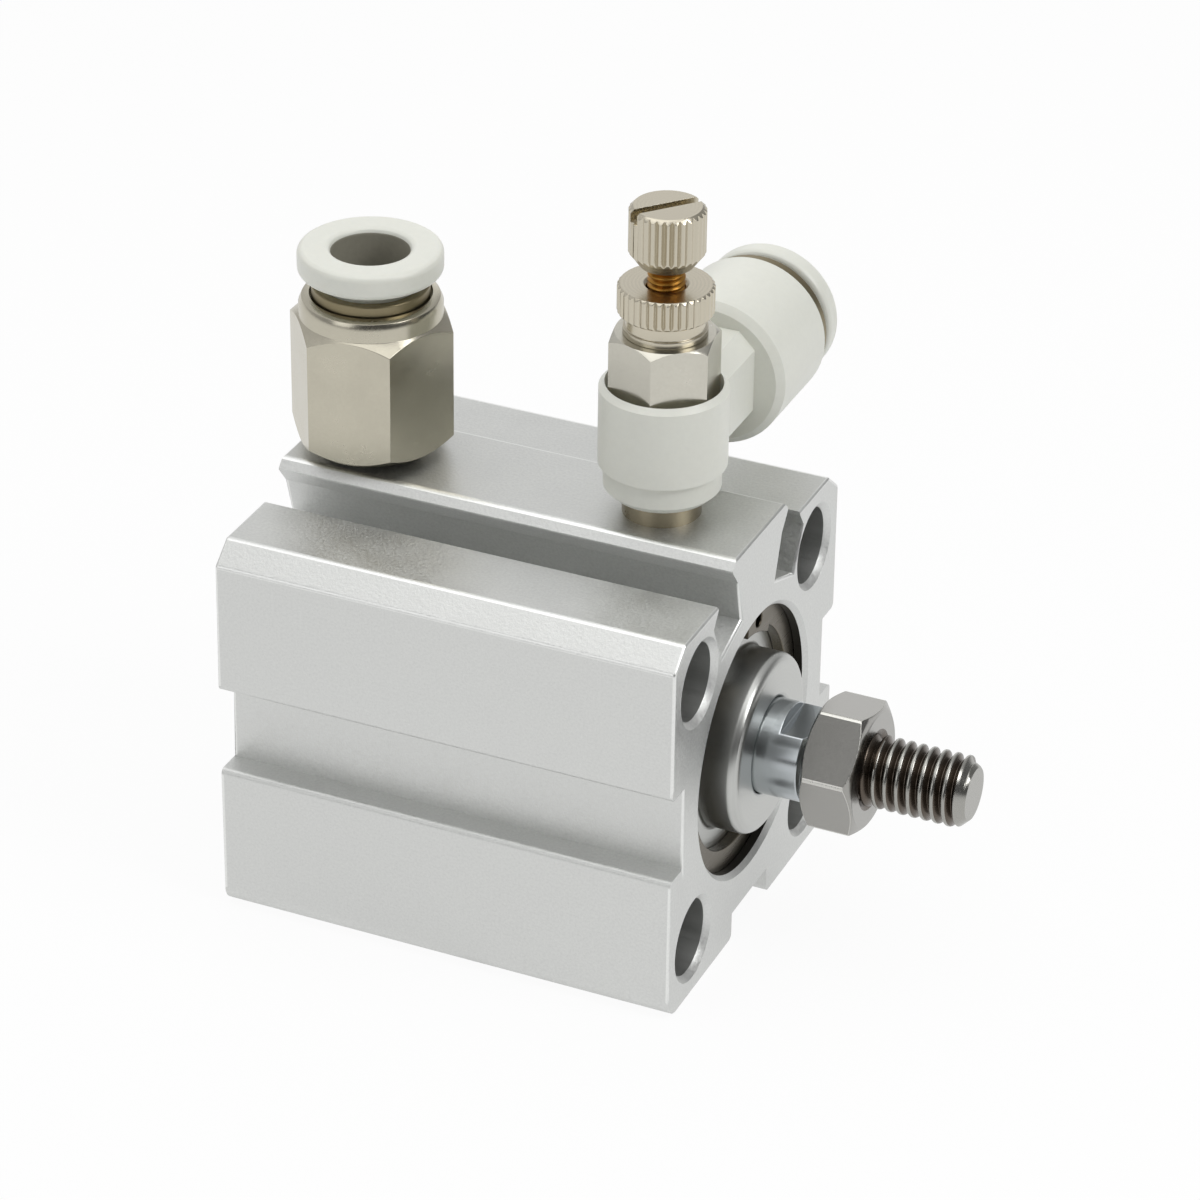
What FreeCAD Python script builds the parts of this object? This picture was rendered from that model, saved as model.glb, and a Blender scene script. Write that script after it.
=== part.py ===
import FreeCAD, Part
import os
import re

import Sketcher

# Driving dimensions in millimetres, degrees and counts.
# The rod runs along +X and the ports look up along +Z. The origin is on the rod's axis in the front face.
SIZES = {
    # extruded barrel; its width follows from the bore and the bolts
    "rib_height": 2.5,
    "base_length": 25.0,
    "stroke": 15.0,
    "top_chamfer": 2.05,
    "top_chamfer_drop": 1.65,
    "foot_round": 1.8,
    "rib_flat": 10.0,
    "rib_lip": 11.5,
    "rib_lip_drop": 0.75,
    "rib_lip_edge": 0.15,
    "rib_neck": 9.1,
    "rib_neck_drop": 2.4,
    "rib_foot": 7.0,
    "rib_foot_drop": 6.3,
    "corner_overhang": 0.9,
    "corner_lip_edge": 0.3,
    "corner_undercut": 1.9,
    "corner_recess_drop": 1.6,
    "corner_web": 1.25,
    "corner_foot_drop": 5.2,
    "slot_width": 7.5,
    "slot_depth": 2.4,
    "slot_lip_round": 0.5,
    # bolt holes
    "bolt_margin": 4.0,
    "bolt_inset": 5.0,
    "bolt_head_d": 6.5,
    "bolt_head_depth": 4.5,
    "bolt_hole_d": 4.2,
    "bolt_count": 4,
    "bolt_chamfer": 0.5,
    "edge_break": 0.4,
    # cylinder bore, covers and their rings
    "bore_d": 20.0,
    "seat_step": 1.35,
    "ring_groove_depth": 0.6,
    "ring_groove_play": 0.05,
    "ring_depth": 1.15,
    "ring_thick": 1.0,
    "ring_band": 2.4,
    "ring_play": 0.05,
    "ring_gap_angle": 24.0,
    "ring_lug_angle": 84.0,
    "ring_lug_reach": 0.65,
    "ring_eye_d": 1.3,
    "ring_eye_angle": 25.0,
    "ring_turn": 7.0,
    "cover_play": 0.03,
    "flange_length": 5.05,
    "spigot_gap": 1.6,
    "nose_d": 15.2,
    "nose_length": 1.5,
    "nose_chamfer": 0.5,
    "rear_flange_length": 2.15,
    "rear_spigot_gap": 1.8,
    "rear_spigot_length": 1.1,
    "rear_dish_d": 12.0,
    "rear_dish_depth": 0.6,
    "o_ring_height": 1.1,
    "o_ring_width": 1.1,
    "o_ring_side_play": 0.1,
    # rod, its bearing and its end
    "rod_d": 8.0,
    "rod_play": 0.04,
    "rod_reach": 5.8,
    "rod_chamfer": 0.6,
    "flat_depth": 1.0,
    "flat_length": 2.6,
    "seal_height": 2.0,
    "seal_length": 3.0,
    "seal_inset": 2.2,
    "seal_notch": 1.4,
    "bush_wall": 1.0,
    "bush_land": 2.9,
    "stud_d": 6.0,
    "stud_reach": 19.0,
    "stud_root_d": 4.5,
    "stud_grip": 8.5,
    "stud_chamfer": 0.8,
    "nut_across": 10.0,
    "nut_thick": 4.6,
    "nut_turn": 18.7,
    "thread_depth": 0.65,
    "thread_lead": 0.5,
    "thread_play": 0.03,
    # piston
    "piston_play": 0.1,
    "end_gap": 0.05,
    "rod_seat_depth": 1.5,
    "bumper_stand": 0.5,
    "bumper_depth": 0.9,
    "bumper_seat": 0.8,
    "bumper_wall": 0.4,
    "seal_groove_depth": 2.2,
    "piston_seal_width": 2.2,
    "wear_groove_depth": 1.2,
    "wear_ring_width": 1.4,
    "groove_land": 0.9,
    "groove_play": 0.03,
    "wall_play": 0.02,
    "screw_d": 4.0,
    "screw_length": 10.0,
    "screw_head_d": 7.0,
    "screw_head_height": 2.2,
    "screw_socket_across": 2.5,
    "screw_socket_depth": 1.3,
    # ports
    "front_port_inset": 8.6,
    "rear_port_inset": 5.7,
    "port_d": 5.0,
    "port_depth": 5.0,
    "port_passage_d": 1.8,
    "stud_end_gap": 0.8,
    # push-in cartridge of both fittings, measured from the fitting's mouth
    "tube_d": 6.0,
    "tube_play": 0.1,
    "cartridge_wall": 1.8,
    "cartridge_depth": 8.6,
    "socket_depth": 2.6,
    "tube_seal_length": 1.5,
    "collet_length": 1.6,
    "collet_wall": 0.35,
    "collet_slots": 8,
    "collet_slot_width": 0.7,
    "guide_wall": 0.8,
    "guide_sunk": 4.0,
    "collar_bore_play": 0.2,
    "collar_play": 0.1,
    "collar_barb": 0.4,
    "collar_barb_length": 0.7,
    "collar_rim": 1.1,
    "collar_chamfer": 0.3,
    "release_travel": 0.8,
    "cartridge_gap": 0.1,
    # straight connector, heights above the rib
    "gasket_thick": 0.8,
    "gasket_d": 7.8,
    "connector_collar_d": 8.8,
    "connector_wall": 1.2,
    "connector_turn": 8.4,
    "connector_hex_foot": 0.9,
    "connector_foot_step": 0.3,
    "connector_foot_chamfer": 1.0,
    "connector_crown": 2.7,
    "connector_shoulder_step": 0.15,
    "connector_cone": 0.9,
    "connector_mouth": 13.9,
    "connector_rim_round": 0.8,
    "connector_rim_step": 0.175,
    "connector_rim_depth": 1.0,
    "connector_guide_stand": 0.9,
    "connector_collar_stand": 1.9,
    "connector_collar_thick": 2.1,
    "fitting_passage_d": 2.4,
    # speed controller, heights above the rib
    "base_wall": 0.7,
    "stem_recess_wall": 0.2,
    "stem_recess_depth": 0.6,
    "stem_hex_top": 15.9,
    "stem_across": 8.0,
    "stem_turn": 9.2,
    "stem_chamfer": 0.5,
    "waist_cut": 0.9,
    "waist_foot": 3.7,
    "waist_top": 7.8,
    "stem_ring_height": 0.75,
    "stem_ring_width": 0.9,
    "stem_land": 0.2,
    "hex_land": 0.4,
    "check_seal_length": 1.2,
    "cross_hole_d": 1.2,
    "needle_seat_d": 1.9,
    "needle_seat_foot": 5.1,
    "needle_seat_length": 0.6,
    "needle_room_play": 0.1,
    "guide_seat_d": 5.2,
    "guide_seat_depth": 2.4,
    "neck_flange_d": 6.75,
    "neck_flange_thick": 0.6,
    "neck_d": 6.4,
    "neck_height": 1.7,
    "needle_d": 3.0,
    "needle_tip_d": 0.7,
    "needle_cone_d": 1.7,
    "needle_cone_length": 1.8,
    "needle_lift": 1.0,
    "needle_shank_length": 3.6,
    "needle_ring_height": 0.55,
    "needle_ring_width": 0.8,
    "lock_ring_d": 7.7,
    "lock_ring_height": 2.45,
    "lock_ring_sink": 0.3,
    "lock_ring_teeth": 36,
    "lock_ring_gap": 1.65,
    "knob_d": 6.1,
    "knob_height": 5.0,
    "knob_grip": 2.2,
    "knob_teeth": 30,
    "knob_foot_chamfer": 0.9,
    "knob_foot_height": 1.2,
    "knob_top_chamfer": 0.35,
    "knob_slot_width": 0.85,
    "knob_slot_depth": 1.0,
    "knob_slot_turn": 50.0,
    "tooth_depth": 0.24,
    # white elbow that swivels on the stem
    "sleeve_foot": 1.9,
    "sleeve_step": 4.5,
    "hex_sunk": 2.0,
    "sleeve_foot_step": 0.45,
    "sleeve_rim_wall": 0.48,
    "sleeve_foot_chamfer": 0.6,
    "sleeve_rim_round": 0.45,
    "sleeve_play": 0.05,
    "hex_room": 0.1,
    "arm_height": 7.7,
    "arm_wall": 1.55,
    "arm_foot": 9.4,
    "arm_mouth": 18.5,
    "arm_chamfer": 0.6,
    "web_width": 7.7,
    "web_top": 12.1,
    "web_top_width": 4.9,
    "web_shoulder": 1.4,
    "web_taper": 2.4,
    "web_foot": 2.9,
    "web_foot_width": 3.6,
    "elbow_ring_step": 0.35,
    "elbow_ring_thick": 1.4,
    "elbow_collar_stand": 2.3,
    "elbow_collar_thick": 2.0,
}

# Places along the rod, counted back from the barrel's front face.
BODY_LENGTH = "(base_length + stroke)"
COVER_FACE = "(ring_depth + ring_thick)"
FLANGE_BACK = f"({COVER_FACE} + flange_length)"
REAR_FACE = f"({BODY_LENGTH} - {COVER_FACE})"
REAR_FLANGE_FRONT = f"({REAR_FACE} - rear_flange_length)"
REAR_STOP = f"({REAR_FLANGE_FRONT} - rear_spigot_length)"
PISTON_BACK = f"({REAR_STOP} - end_gap - bumper_stand)"
PISTON_LENGTH = "(3 * groove_land + wear_ring_width + piston_seal_width + 4 * groove_play)"
PISTON_FRONT = f"({PISTON_BACK} - {PISTON_LENGTH})"
FRONT_STOP = f"({PISTON_FRONT} - bumper_stand - stroke - end_gap)"
ROD_BACK = f"({PISTON_FRONT} + rod_seat_depth)"
SEAL_FRONT = "(seal_inset - nose_length)"
SEAL_BACK = f"({SEAL_FRONT} + seal_length)"
BUSH_FRONT = f"({SEAL_BACK} + bush_land)"
# Places along the rod, counted forward from the front face.
NUT_FRONT = "(rod_reach + nut_thick)"
FREE_THREAD = f"({NUT_FRONT} + thread_lead)"
# Widths, heights and radii of the barrel and of what it holds.
BOLT_SPACING = "(bore_d + bolt_margin)"
CORNER_TOP = f"({BOLT_SPACING} / 2 + bolt_inset)"
RIB_TOP = f"({CORNER_TOP} + rib_height)"
CORNER_FOOT = f"({BOLT_SPACING} / 2 - bolt_head_d / 2 - corner_web)"
CORNER_RECESS = f"({CORNER_FOOT} + corner_undercut)"
CORNER_LIP = f"({CORNER_RECESS} - corner_overhang)"
SEAT_R = "(bore_d / 2 + seat_step)"
RING_GROOVE_R = f"({SEAT_R} + ring_groove_depth)"
FLANGE_R = f"({SEAT_R} - cover_play)"
SPIGOT_R = "(bore_d / 2 - spigot_gap)"
REAR_SPIGOT_R = "(bore_d / 2 - rear_spigot_gap)"
PISTON_R = "(bore_d / 2 - piston_play)"
BUMPER_OUTER_R = f"({PISTON_R} - seal_groove_depth - bumper_wall)"
BUMPER_INNER_R = "(rod_d / 2 + bumper_seat)"
RING_R = f"({RING_GROOVE_R} - ring_play)"
ROD_HOLE_R = "(rod_d / 2 + rod_play)"
FLAT_R = "(rod_d / 2 - flat_depth)"
SEAL_R = "(rod_d / 2 + seal_height)"
BUSH_R = "(rod_d / 2 + bush_wall)"
PITCH_R = "(stud_d / 2 - thread_depth / 2)"
# Radii and heights of the two fittings, heights counted from the rib's top.
PORT_STUD = "(port_depth - stud_end_gap)"
SOCKET_R = "(tube_d / 2 + tube_play)"
ROOM_R = "(tube_d / 2 + cartridge_wall)"
COLLAR_HOLE_R = "(tube_d / 2 + collar_bore_play)"
COLLAR_R = f"({ROOM_R} + collar_rim)"
CONNECTOR_R = f"({ROOM_R} + connector_wall)"
CONNECTOR_FOOT_R = f"({CONNECTOR_R} - connector_foot_step)"
CONNECTOR_SHOULDER_R = f"({CONNECTOR_R} - connector_shoulder_step)"
CONNECTOR_RIM_R = f"({ROOM_R} + connector_rim_step)"
CONNECTOR_HEX_TOP = "(connector_mouth - connector_crown)"
ARM_R = f"({ROOM_R} + arm_wall)"
ELBOW_RING_R = f"({ARM_R} - elbow_ring_step)"
BASE_R = "(port_d / 2 + base_wall)"
SLEEVE_BORE_R = f"({BASE_R} + sleeve_play)"
RECESS_R = f"({BASE_R} - stem_recess_wall)"
WAIST_R = f"({BASE_R} - waist_cut)"
STEM_CORNER_R = "(stem_across / 2 / cos(30))"
SLEEVE_R = f"({STEM_CORNER_R} + hex_room + sleeve_rim_wall)"
SLEEVE_FOOT_R = f"({SLEEVE_R} - sleeve_foot_step)"
NEEDLE_ROOM_R = "(needle_d / 2 + needle_room_play)"
SHANK_R = "(needle_d / 2 - needle_room_play)"
STEM_GROOVE = "(stem_ring_width + 2 * o_ring_side_play)"
STEM_LOWER_RING = f"(waist_foot - stem_land - {STEM_GROOVE} / 2)"
STEM_UPPER_RING = f"(waist_top + stem_land + {STEM_GROOVE} / 2)"
STEM_HEX_FOOT = f"({STEM_UPPER_RING} + {STEM_GROOVE} / 2 + hex_land)"
SLEEVE_TOP = f"({STEM_HEX_FOOT} + hex_sunk)"
GALLERY = "((waist_foot + check_seal_length + waist_top) / 2)"
NECK_TOP = "(stem_hex_top + neck_height)"
LOCK_FOOT = f"({NECK_TOP} + thread_play)"
LOCK_TOP = f"({LOCK_FOOT} + lock_ring_height)"
KNOB_FOOT = f"({LOCK_TOP} + lock_ring_gap)"
NEEDLE_TOP = f"({KNOB_FOOT} + knob_grip)"
NEEDLE_TIP = "(needle_seat_foot + needle_lift)"
CONE_TOP = f"({NEEDLE_TIP} + needle_cone_length)"
SHANK_TOP = f"({CONE_TOP} + needle_shank_length)"
NEEDLE_RING = f"({SHANK_TOP} - 1.5 * needle_ring_width)"

TURNING = {"X": ("XZ", "H_Axis"), "Z": ("XZ", "V_Axis")}
ALONG_Y = FreeCAD.Rotation(FreeCAD.Vector(1, 0, 0), -90)

doc = FreeCAD.newDocument("compact_cylinder")
sheet = doc.addObject("Spreadsheet::Sheet", "Sizes")
for row, (alias, number) in enumerate(SIZES.items(), 1):
    sheet.set(f"A{row}", alias.replace("_", " "))
    sheet.set(f"B{row}", str(number))
    sheet.setAlias(f"B{row}", alias)
doc.recompute()


def bound(formula):
    """Give a formula in size names the form that other objects can hold."""
    return re.sub(r"[a-z]\w*", lambda word: f"Sizes.{word[0]}" if word[0] in SIZES else word[0], formula)


def value(formula):
    """Work out a formula in size names."""
    return float(sheet.evalExpression(bound(formula)))


def minus(formula):
    """Turn a place counted back from the front face into one along +X."""
    return f"-({formula})"


def half(formula):
    """Turn a diameter into a radius."""
    return f"({formula}) / 2"


def hex_corner(across, turn, number):
    """Give the two coordinates of one corner of a hexagon across its flats."""
    reach = f"({across}) / 2 / cos(30)"
    angle = f"({turn}) + {60 * number}"
    return f"{reach} * cos({angle})", f"{reach} * sin({angle})"


def new_body(name, spot=("0", "0", "0"), rotation=FreeCAD.Rotation()):
    """Start a sub-part at a place given by three formulas."""
    body = doc.addObject("PartDesign::Body", name)
    body.Label = name
    body.Placement = FreeCAD.Placement(FreeCAD.Vector(*[value(formula) for formula in spot]), rotation)
    for letter, formula in zip("xyz", spot):
        body.setExpression(f"Placement.Base.{letter}", bound(formula))
    return body


def datum(body, role):
    """Find one of a body's own planes or axes."""
    return next(feature for feature in body.Origin.OriginFeatures if feature.Role == role)


def new_sketch(body, name, plane, spot=("0", "0", "0")):
    """Attach an empty sketch to one of the body's own planes, moved in that plane by three formulas."""
    sketch = body.newObject("Sketcher::SketchObject", f"{body.Name}_{name}_outline")
    sketch.AttachmentSupport = [(datum(body, f"{plane}_Plane"), "")]
    sketch.MapMode = "FlatFace"
    for letter, formula in zip("xyz", spot):
        sketch.setExpression(f"AttachmentOffset.Base.{letter}", bound(formula))
    return sketch


def hold(sketch, kind, element, point, formula):
    """Hold one coordinate of a point at a formula."""
    index = sketch.addConstraint(Sketcher.Constraint(kind, -1, 1, element, point, value(formula)))
    sketch.setExpression(f"Constraints[{index}]", bound(formula))


def add_outline(sketch, corners):
    """Draw a closed outline through corners, each given by two formulas."""
    spots = [FreeCAD.Vector(value(across), value(up), 0) for across, up in corners]
    sides = [Part.LineSegment(start, end) for start, end in zip(spots, spots[1:] + spots[:1])]
    lines = sketch.addGeometry(sides, False)
    joins = zip(lines, lines[1:] + lines[:1])
    sketch.addConstraint([Sketcher.Constraint("Coincident", line, 2, after, 1) for line, after in joins])
    for line, (across, up) in zip(lines, corners):
        hold(sketch, "DistanceX", line, 1, across)
        hold(sketch, "DistanceY", line, 1, up)


def add_circle(sketch, across, up, radius):
    """Draw a circle with its centre and radius given by formulas."""
    centre = FreeCAD.Vector(value(across), value(up), 0)
    ring = sketch.addGeometry(Part.Circle(centre, FreeCAD.Vector(0, 0, 1), value(radius)), False)
    hold(sketch, "DistanceX", ring, 3, across)
    hold(sketch, "DistanceY", ring, 3, up)
    index = sketch.addConstraint(Sketcher.Constraint("Radius", ring, value(radius)))
    sketch.setExpression(f"Constraints[{index}]", bound(radius))


def turn(body, name, axis, corners, cut=False, spot=("0", "0", "0"), sweep="360"):
    """Add or cut a turned form. Corners are (along, radius) for axis X and (radius, along) for axis Z."""
    plane, line = TURNING[axis]
    sketch = new_sketch(body, name, plane, spot)
    add_outline(sketch, corners)
    kind = "PartDesign::Groove" if cut else "PartDesign::Revolution"
    feature = body.newObject(kind, f"{body.Name}_{name}")
    feature.Profile = sketch
    feature.ReferenceAxis = (sketch, [line])
    feature.Midplane = True
    feature.setExpression("Angle", bound(sweep))
    return feature


def push(body, name, sketch, length, cut=False, reverse=False):
    """Pad a sketch along its normal, or pocket it against its normal, by a formula."""
    kind = "PartDesign::Pocket" if cut else "PartDesign::Pad"
    feature = body.newObject(kind, f"{body.Name}_{name}")
    feature.Profile = sketch
    feature.setExpression("Length", bound(length))
    feature.Reversed = reverse
    return feature


def repeat(body, feature, axis, count):
    """Repeat a feature evenly around one of the body's axes."""
    pattern = body.newObject("PartDesign::PolarPattern", f"{feature.Name}_pattern")
    pattern.Originals = [feature]
    pattern.Axis = (datum(body, f"{axis}_Axis"), [""])
    pattern.Angle = 360
    pattern.setExpression("Occurrences", bound(count))
    body.Tip = pattern


def chamfer_rims(body, name, width, rims):
    """Chamfer circular edges, each named by an axis and formulas for its place along it and its radius."""
    doc.recompute()
    base = body.Tip
    wanted = [(axis, value(along), value(radius)) for axis, along, radius in rims]
    edges = []
    for number, edge in enumerate(base.Shape.Edges, 1):
        if not isinstance(edge.Curve, Part.Circle):
            continue
        centre = edge.Curve.Center
        for axis, along, radius in wanted:
            place = {"X": centre.x, "Y": centre.y, "Z": centre.z}[axis]
            if abs(place - along) < 1e-4 and abs(edge.Curve.Radius - radius) < 1e-4:
                edges.append(f"Edge{number}")
    chamfer = body.newObject("PartDesign::Chamfer", f"{body.Name}_{name}")
    chamfer.Base = (base, edges)
    chamfer.setExpression("Size", bound(width))


def round_long_edges(body, name, radius, corners):
    """Round edges that run along X, each named by formulas for its place across and up."""
    doc.recompute()
    base = body.Tip
    wanted = [(value(across), value(up)) for across, up in corners]
    edges = []
    for number, edge in enumerate(base.Shape.Edges, 1):
        middle = edge.CenterOfMass
        if any(abs(middle.y - across) < 1e-4 and abs(middle.z - up) < 1e-4 for across, up in wanted):
            edges.append(f"Edge{number}")
    fillet = body.newObject("PartDesign::Fillet", f"{body.Name}_{name}")
    fillet.Base = (base, edges)
    fillet.setExpression("Radius", bound(radius))


def hex_sketch(body, name, plane, spot, across, turned):
    """Draw a hexagon on one of the body's planes."""
    sketch = new_sketch(body, name, plane, spot)
    add_outline(sketch, [hex_corner(across, turned, number) for number in range(6)])
    return sketch


def barrel_outline():
    """List the corners of the extruded section, clockwise from the rib's top, seen from the rear."""
    slot, floor = half("slot_width"), f"{CORNER_TOP} - slot_depth"
    right = [
        (half("rib_flat"), RIB_TOP),
        (half("rib_lip"), f"{RIB_TOP} - rib_lip_drop"),
        (half("rib_lip"), f"{RIB_TOP} - rib_lip_drop - rib_lip_edge"),
        (half("rib_neck"), f"{RIB_TOP} - rib_neck_drop"),
        (half("rib_foot"), f"{RIB_TOP} - rib_foot_drop"),
        (CORNER_FOOT, f"{CORNER_TOP} - corner_foot_drop"),
        (CORNER_RECESS, f"{CORNER_TOP} - corner_recess_drop"),
        (CORNER_LIP, f"{CORNER_TOP} - corner_lip_edge"),
        (CORNER_LIP, CORNER_TOP),
        (f"{CORNER_TOP} - top_chamfer", CORNER_TOP),
        (CORNER_TOP, f"{CORNER_TOP} - top_chamfer_drop"),
        (CORNER_TOP, slot),
        (floor, slot),
        (floor, minus(slot)),
        (CORNER_TOP, minus(slot)),
        (CORNER_TOP, minus(CORNER_TOP)),
        (slot, minus(CORNER_TOP)),
        (slot, minus(floor)),
    ]
    left = [(minus(across), up) for across, up in reversed(right)]
    return right + left


def bore_outline():
    """List the (along, radius) corners of the barrel's inside: mouths, ring grooves, seats and bore."""
    seat, bore, groove = SEAT_R, half("bore_d"), RING_GROOVE_R
    front = [
        ("0", "0"),
        ("0", f"{seat} + edge_break"),
        ("-edge_break", seat),
        ("-(ring_depth - ring_groove_play)", seat),
        ("-(ring_depth - ring_groove_play)", groove),
        (minus(COVER_FACE), groove),
        (minus(COVER_FACE), seat),
        (minus(FLANGE_BACK), seat),
        (minus(FLANGE_BACK), bore),
    ]
    rear = [
        (minus(REAR_FLANGE_FRONT), bore),
        (minus(REAR_FLANGE_FRONT), seat),
        (minus(REAR_FACE), seat),
        (minus(REAR_FACE), groove),
        (f"-({BODY_LENGTH} - ring_depth + ring_groove_play)", groove),
        (f"-({BODY_LENGTH} - ring_depth + ring_groove_play)", seat),
        (f"-({BODY_LENGTH} - edge_break)", seat),
        (minus(BODY_LENGTH), f"{seat} + edge_break"),
        (minus(BODY_LENGTH), "0"),
    ]
    return front + rear


def bolt_outline():
    """List the (along, radius) corners of one bolt hole with a counterbore at each end."""
    head, hole = half("bolt_head_d"), half("bolt_hole_d")
    return [
        ("0", "0"),
        ("0", f"{head} + bolt_chamfer"),
        ("-bolt_chamfer", head),
        ("-bolt_head_depth", head),
        ("-bolt_head_depth", hole),
        (f"-({BODY_LENGTH} - bolt_head_depth)", hole),
        (f"-({BODY_LENGTH} - bolt_head_depth)", head),
        (f"-({BODY_LENGTH} - bolt_chamfer)", head),
        (minus(BODY_LENGTH), f"{head} + bolt_chamfer"),
        (minus(BODY_LENGTH), "0"),
    ]


def make_barrel():
    """Extrude the barrel and machine its bore, bolt holes and ports."""
    body = new_body("barrel")
    section = new_sketch(body, "section", "YZ")
    add_outline(section, barrel_outline())
    push(body, "extrusion", section, BODY_LENGTH, reverse=True)
    low, slot = minus(CORNER_TOP), half("slot_width")
    round_long_edges(body, "feet", "foot_round", [(low, low), (CORNER_TOP, low)])
    lips = [(side, up) for side in (low, CORNER_TOP) for up in (slot, minus(slot))]
    lips += [(slot, low), (minus(slot), low)]
    round_long_edges(body, "slot_lips", "slot_lip_round", lips)
    turn(body, "bore", "X", bore_outline(), cut=True)
    spot = ("0", half(BOLT_SPACING), minus(half(BOLT_SPACING)))
    bolt = turn(body, "bolt_hole", "X", bolt_outline(), cut=True, spot=spot)
    repeat(body, bolt, "X", "bolt_count")
    port, passage = f"{half('port_d')} + thread_play", half("port_passage_d")
    port_floor = f"{RIB_TOP} - port_depth"
    port_outline = [
        ("0", RIB_TOP),
        (port, RIB_TOP),
        (port, port_floor),
        (passage, port_floor),
        (passage, "bore_d / 4"),
        ("0", "bore_d / 4"),
    ]
    for name, inset in (("front", "front_port_inset"), ("rear", f"{BODY_LENGTH} - rear_port_inset")):
        turn(body, f"{name}_port", "Z", port_outline, cut=True, spot=(minus(inset), "0", "0"))
    return body


def make_retaining_ring(name, spot):
    """Make an internal spring ring with a gap and two eyed lugs near its top."""
    tilt = FreeCAD.Rotation(FreeCAD.Vector(1, 0, 0), value("ring_turn"))
    body = new_body(name, spot, tilt)
    body.setExpression("Placement.Rotation.Angle", bound("ring_turn"))
    inner = f"{RING_R} - ring_band"
    lug = f"{inner} - ring_lug_reach"
    edge = minus("ring_thick")
    turn(body, "band", "X", [("0", inner), ("0", RING_R), (edge, RING_R), (edge, inner)])
    lugs = [("0", lug), ("0", RING_R), (edge, RING_R), (edge, lug)]
    turn(body, "lugs", "X", lugs, sweep="ring_lug_angle")
    start, end = "ring_thick", "-2 * ring_thick"
    near, past = half(inner), f"{RING_R} + ring_band"
    gap = [(start, near), (start, past), (end, past), (end, near)]
    turn(body, "gap", "X", gap, cut=True, sweep="ring_gap_angle")
    eyes = new_sketch(body, "eyes", "YZ")
    eye_ring = f"({lug} + {RING_R} - ring_band / 3) / 2"
    for side in ("", "-"):
        add_circle(eyes, f"{side}{eye_ring} * sin(ring_eye_angle)", f"{eye_ring} * cos(ring_eye_angle)",
                   half("ring_eye_d"))
    push(body, "eye_holes", eyes, "ring_thick", cut=True)
    return body


def ring_section(inner, outer, start, end):
    """List the corners of a plain turned ring about X, between two places along the axis."""
    return [(start, inner), (end, inner), (end, outer), (start, outer)]


def make_ring(name, axis, inner, outer, start, end, spot=("0", "0", "0")):
    """Make a plain turned ring about the body's X or Z axis."""
    body = new_body(name, spot)
    corners = ring_section(inner, outer, start, end)
    if axis == "Z":
        corners = [(radius, along) for along, radius in corners]
    turn(body, "ring", axis, corners)
    return body


def make_front_cover():
    """Turn the front cover: spigot, flange with its ring groove, nose, rod seal groove and bush seat."""
    body = new_body("front_cover")
    groove_back = f"-({FLANGE_BACK} - flange_length / 2 + o_ring_width / 2 + o_ring_side_play)"
    groove_front = f"-({FLANGE_BACK} - flange_length / 2 - o_ring_width / 2 - o_ring_side_play)"
    groove_r = f"{SEAT_R} - o_ring_height"
    corners = [
        (minus(FRONT_STOP), BUSH_R),
        (minus(BUSH_FRONT), BUSH_R),
        (minus(BUSH_FRONT), ROD_HOLE_R),
        (minus(SEAL_BACK), ROD_HOLE_R),
        (minus(SEAL_BACK), SEAL_R),
        (minus(SEAL_FRONT), SEAL_R),
        (minus(SEAL_FRONT), ROD_HOLE_R),
        ("nose_length", ROD_HOLE_R),
        ("nose_length", half("nose_d")),
        (minus(COVER_FACE), half("nose_d")),
        (minus(COVER_FACE), FLANGE_R),
        (groove_front, FLANGE_R),
        (groove_front, groove_r),
        (groove_back, groove_r),
        (groove_back, FLANGE_R),
        (minus(FLANGE_BACK), FLANGE_R),
        (minus(FLANGE_BACK), SPIGOT_R),
        (minus(FRONT_STOP), SPIGOT_R),
    ]
    turn(body, "blank", "X", corners)
    chamfer_rims(body, "nose_edge", "nose_chamfer", [("X", "nose_length", half("nose_d"))])
    middle = f"({FLANGE_BACK} - flange_length / 2)"
    make_ring("front_cover_o_ring", "X", groove_r, SEAT_R,
              f"-({middle} + o_ring_width / 2)", f"-({middle} - o_ring_width / 2)")
    return body


def make_rod_seal():
    """Turn the U-shaped rod seal with its lips towards the pressure."""
    body = new_body("rod_seal")
    outer, inner = SEAL_R, ROD_HOLE_R
    lip = f"({outer} - {inner}) / 3"
    corners = [
        (minus(SEAL_FRONT), inner),
        (minus(SEAL_FRONT), outer),
        (minus(SEAL_BACK), outer),
        (minus(SEAL_BACK), f"{outer} - {lip}"),
        (f"-({SEAL_BACK} - seal_notch)", f"({outer} + {inner}) / 2"),
        (minus(SEAL_BACK), f"{inner} + {lip}"),
        (minus(SEAL_BACK), inner),
    ]
    turn(body, "ring", "X", corners)
    return body


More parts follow.
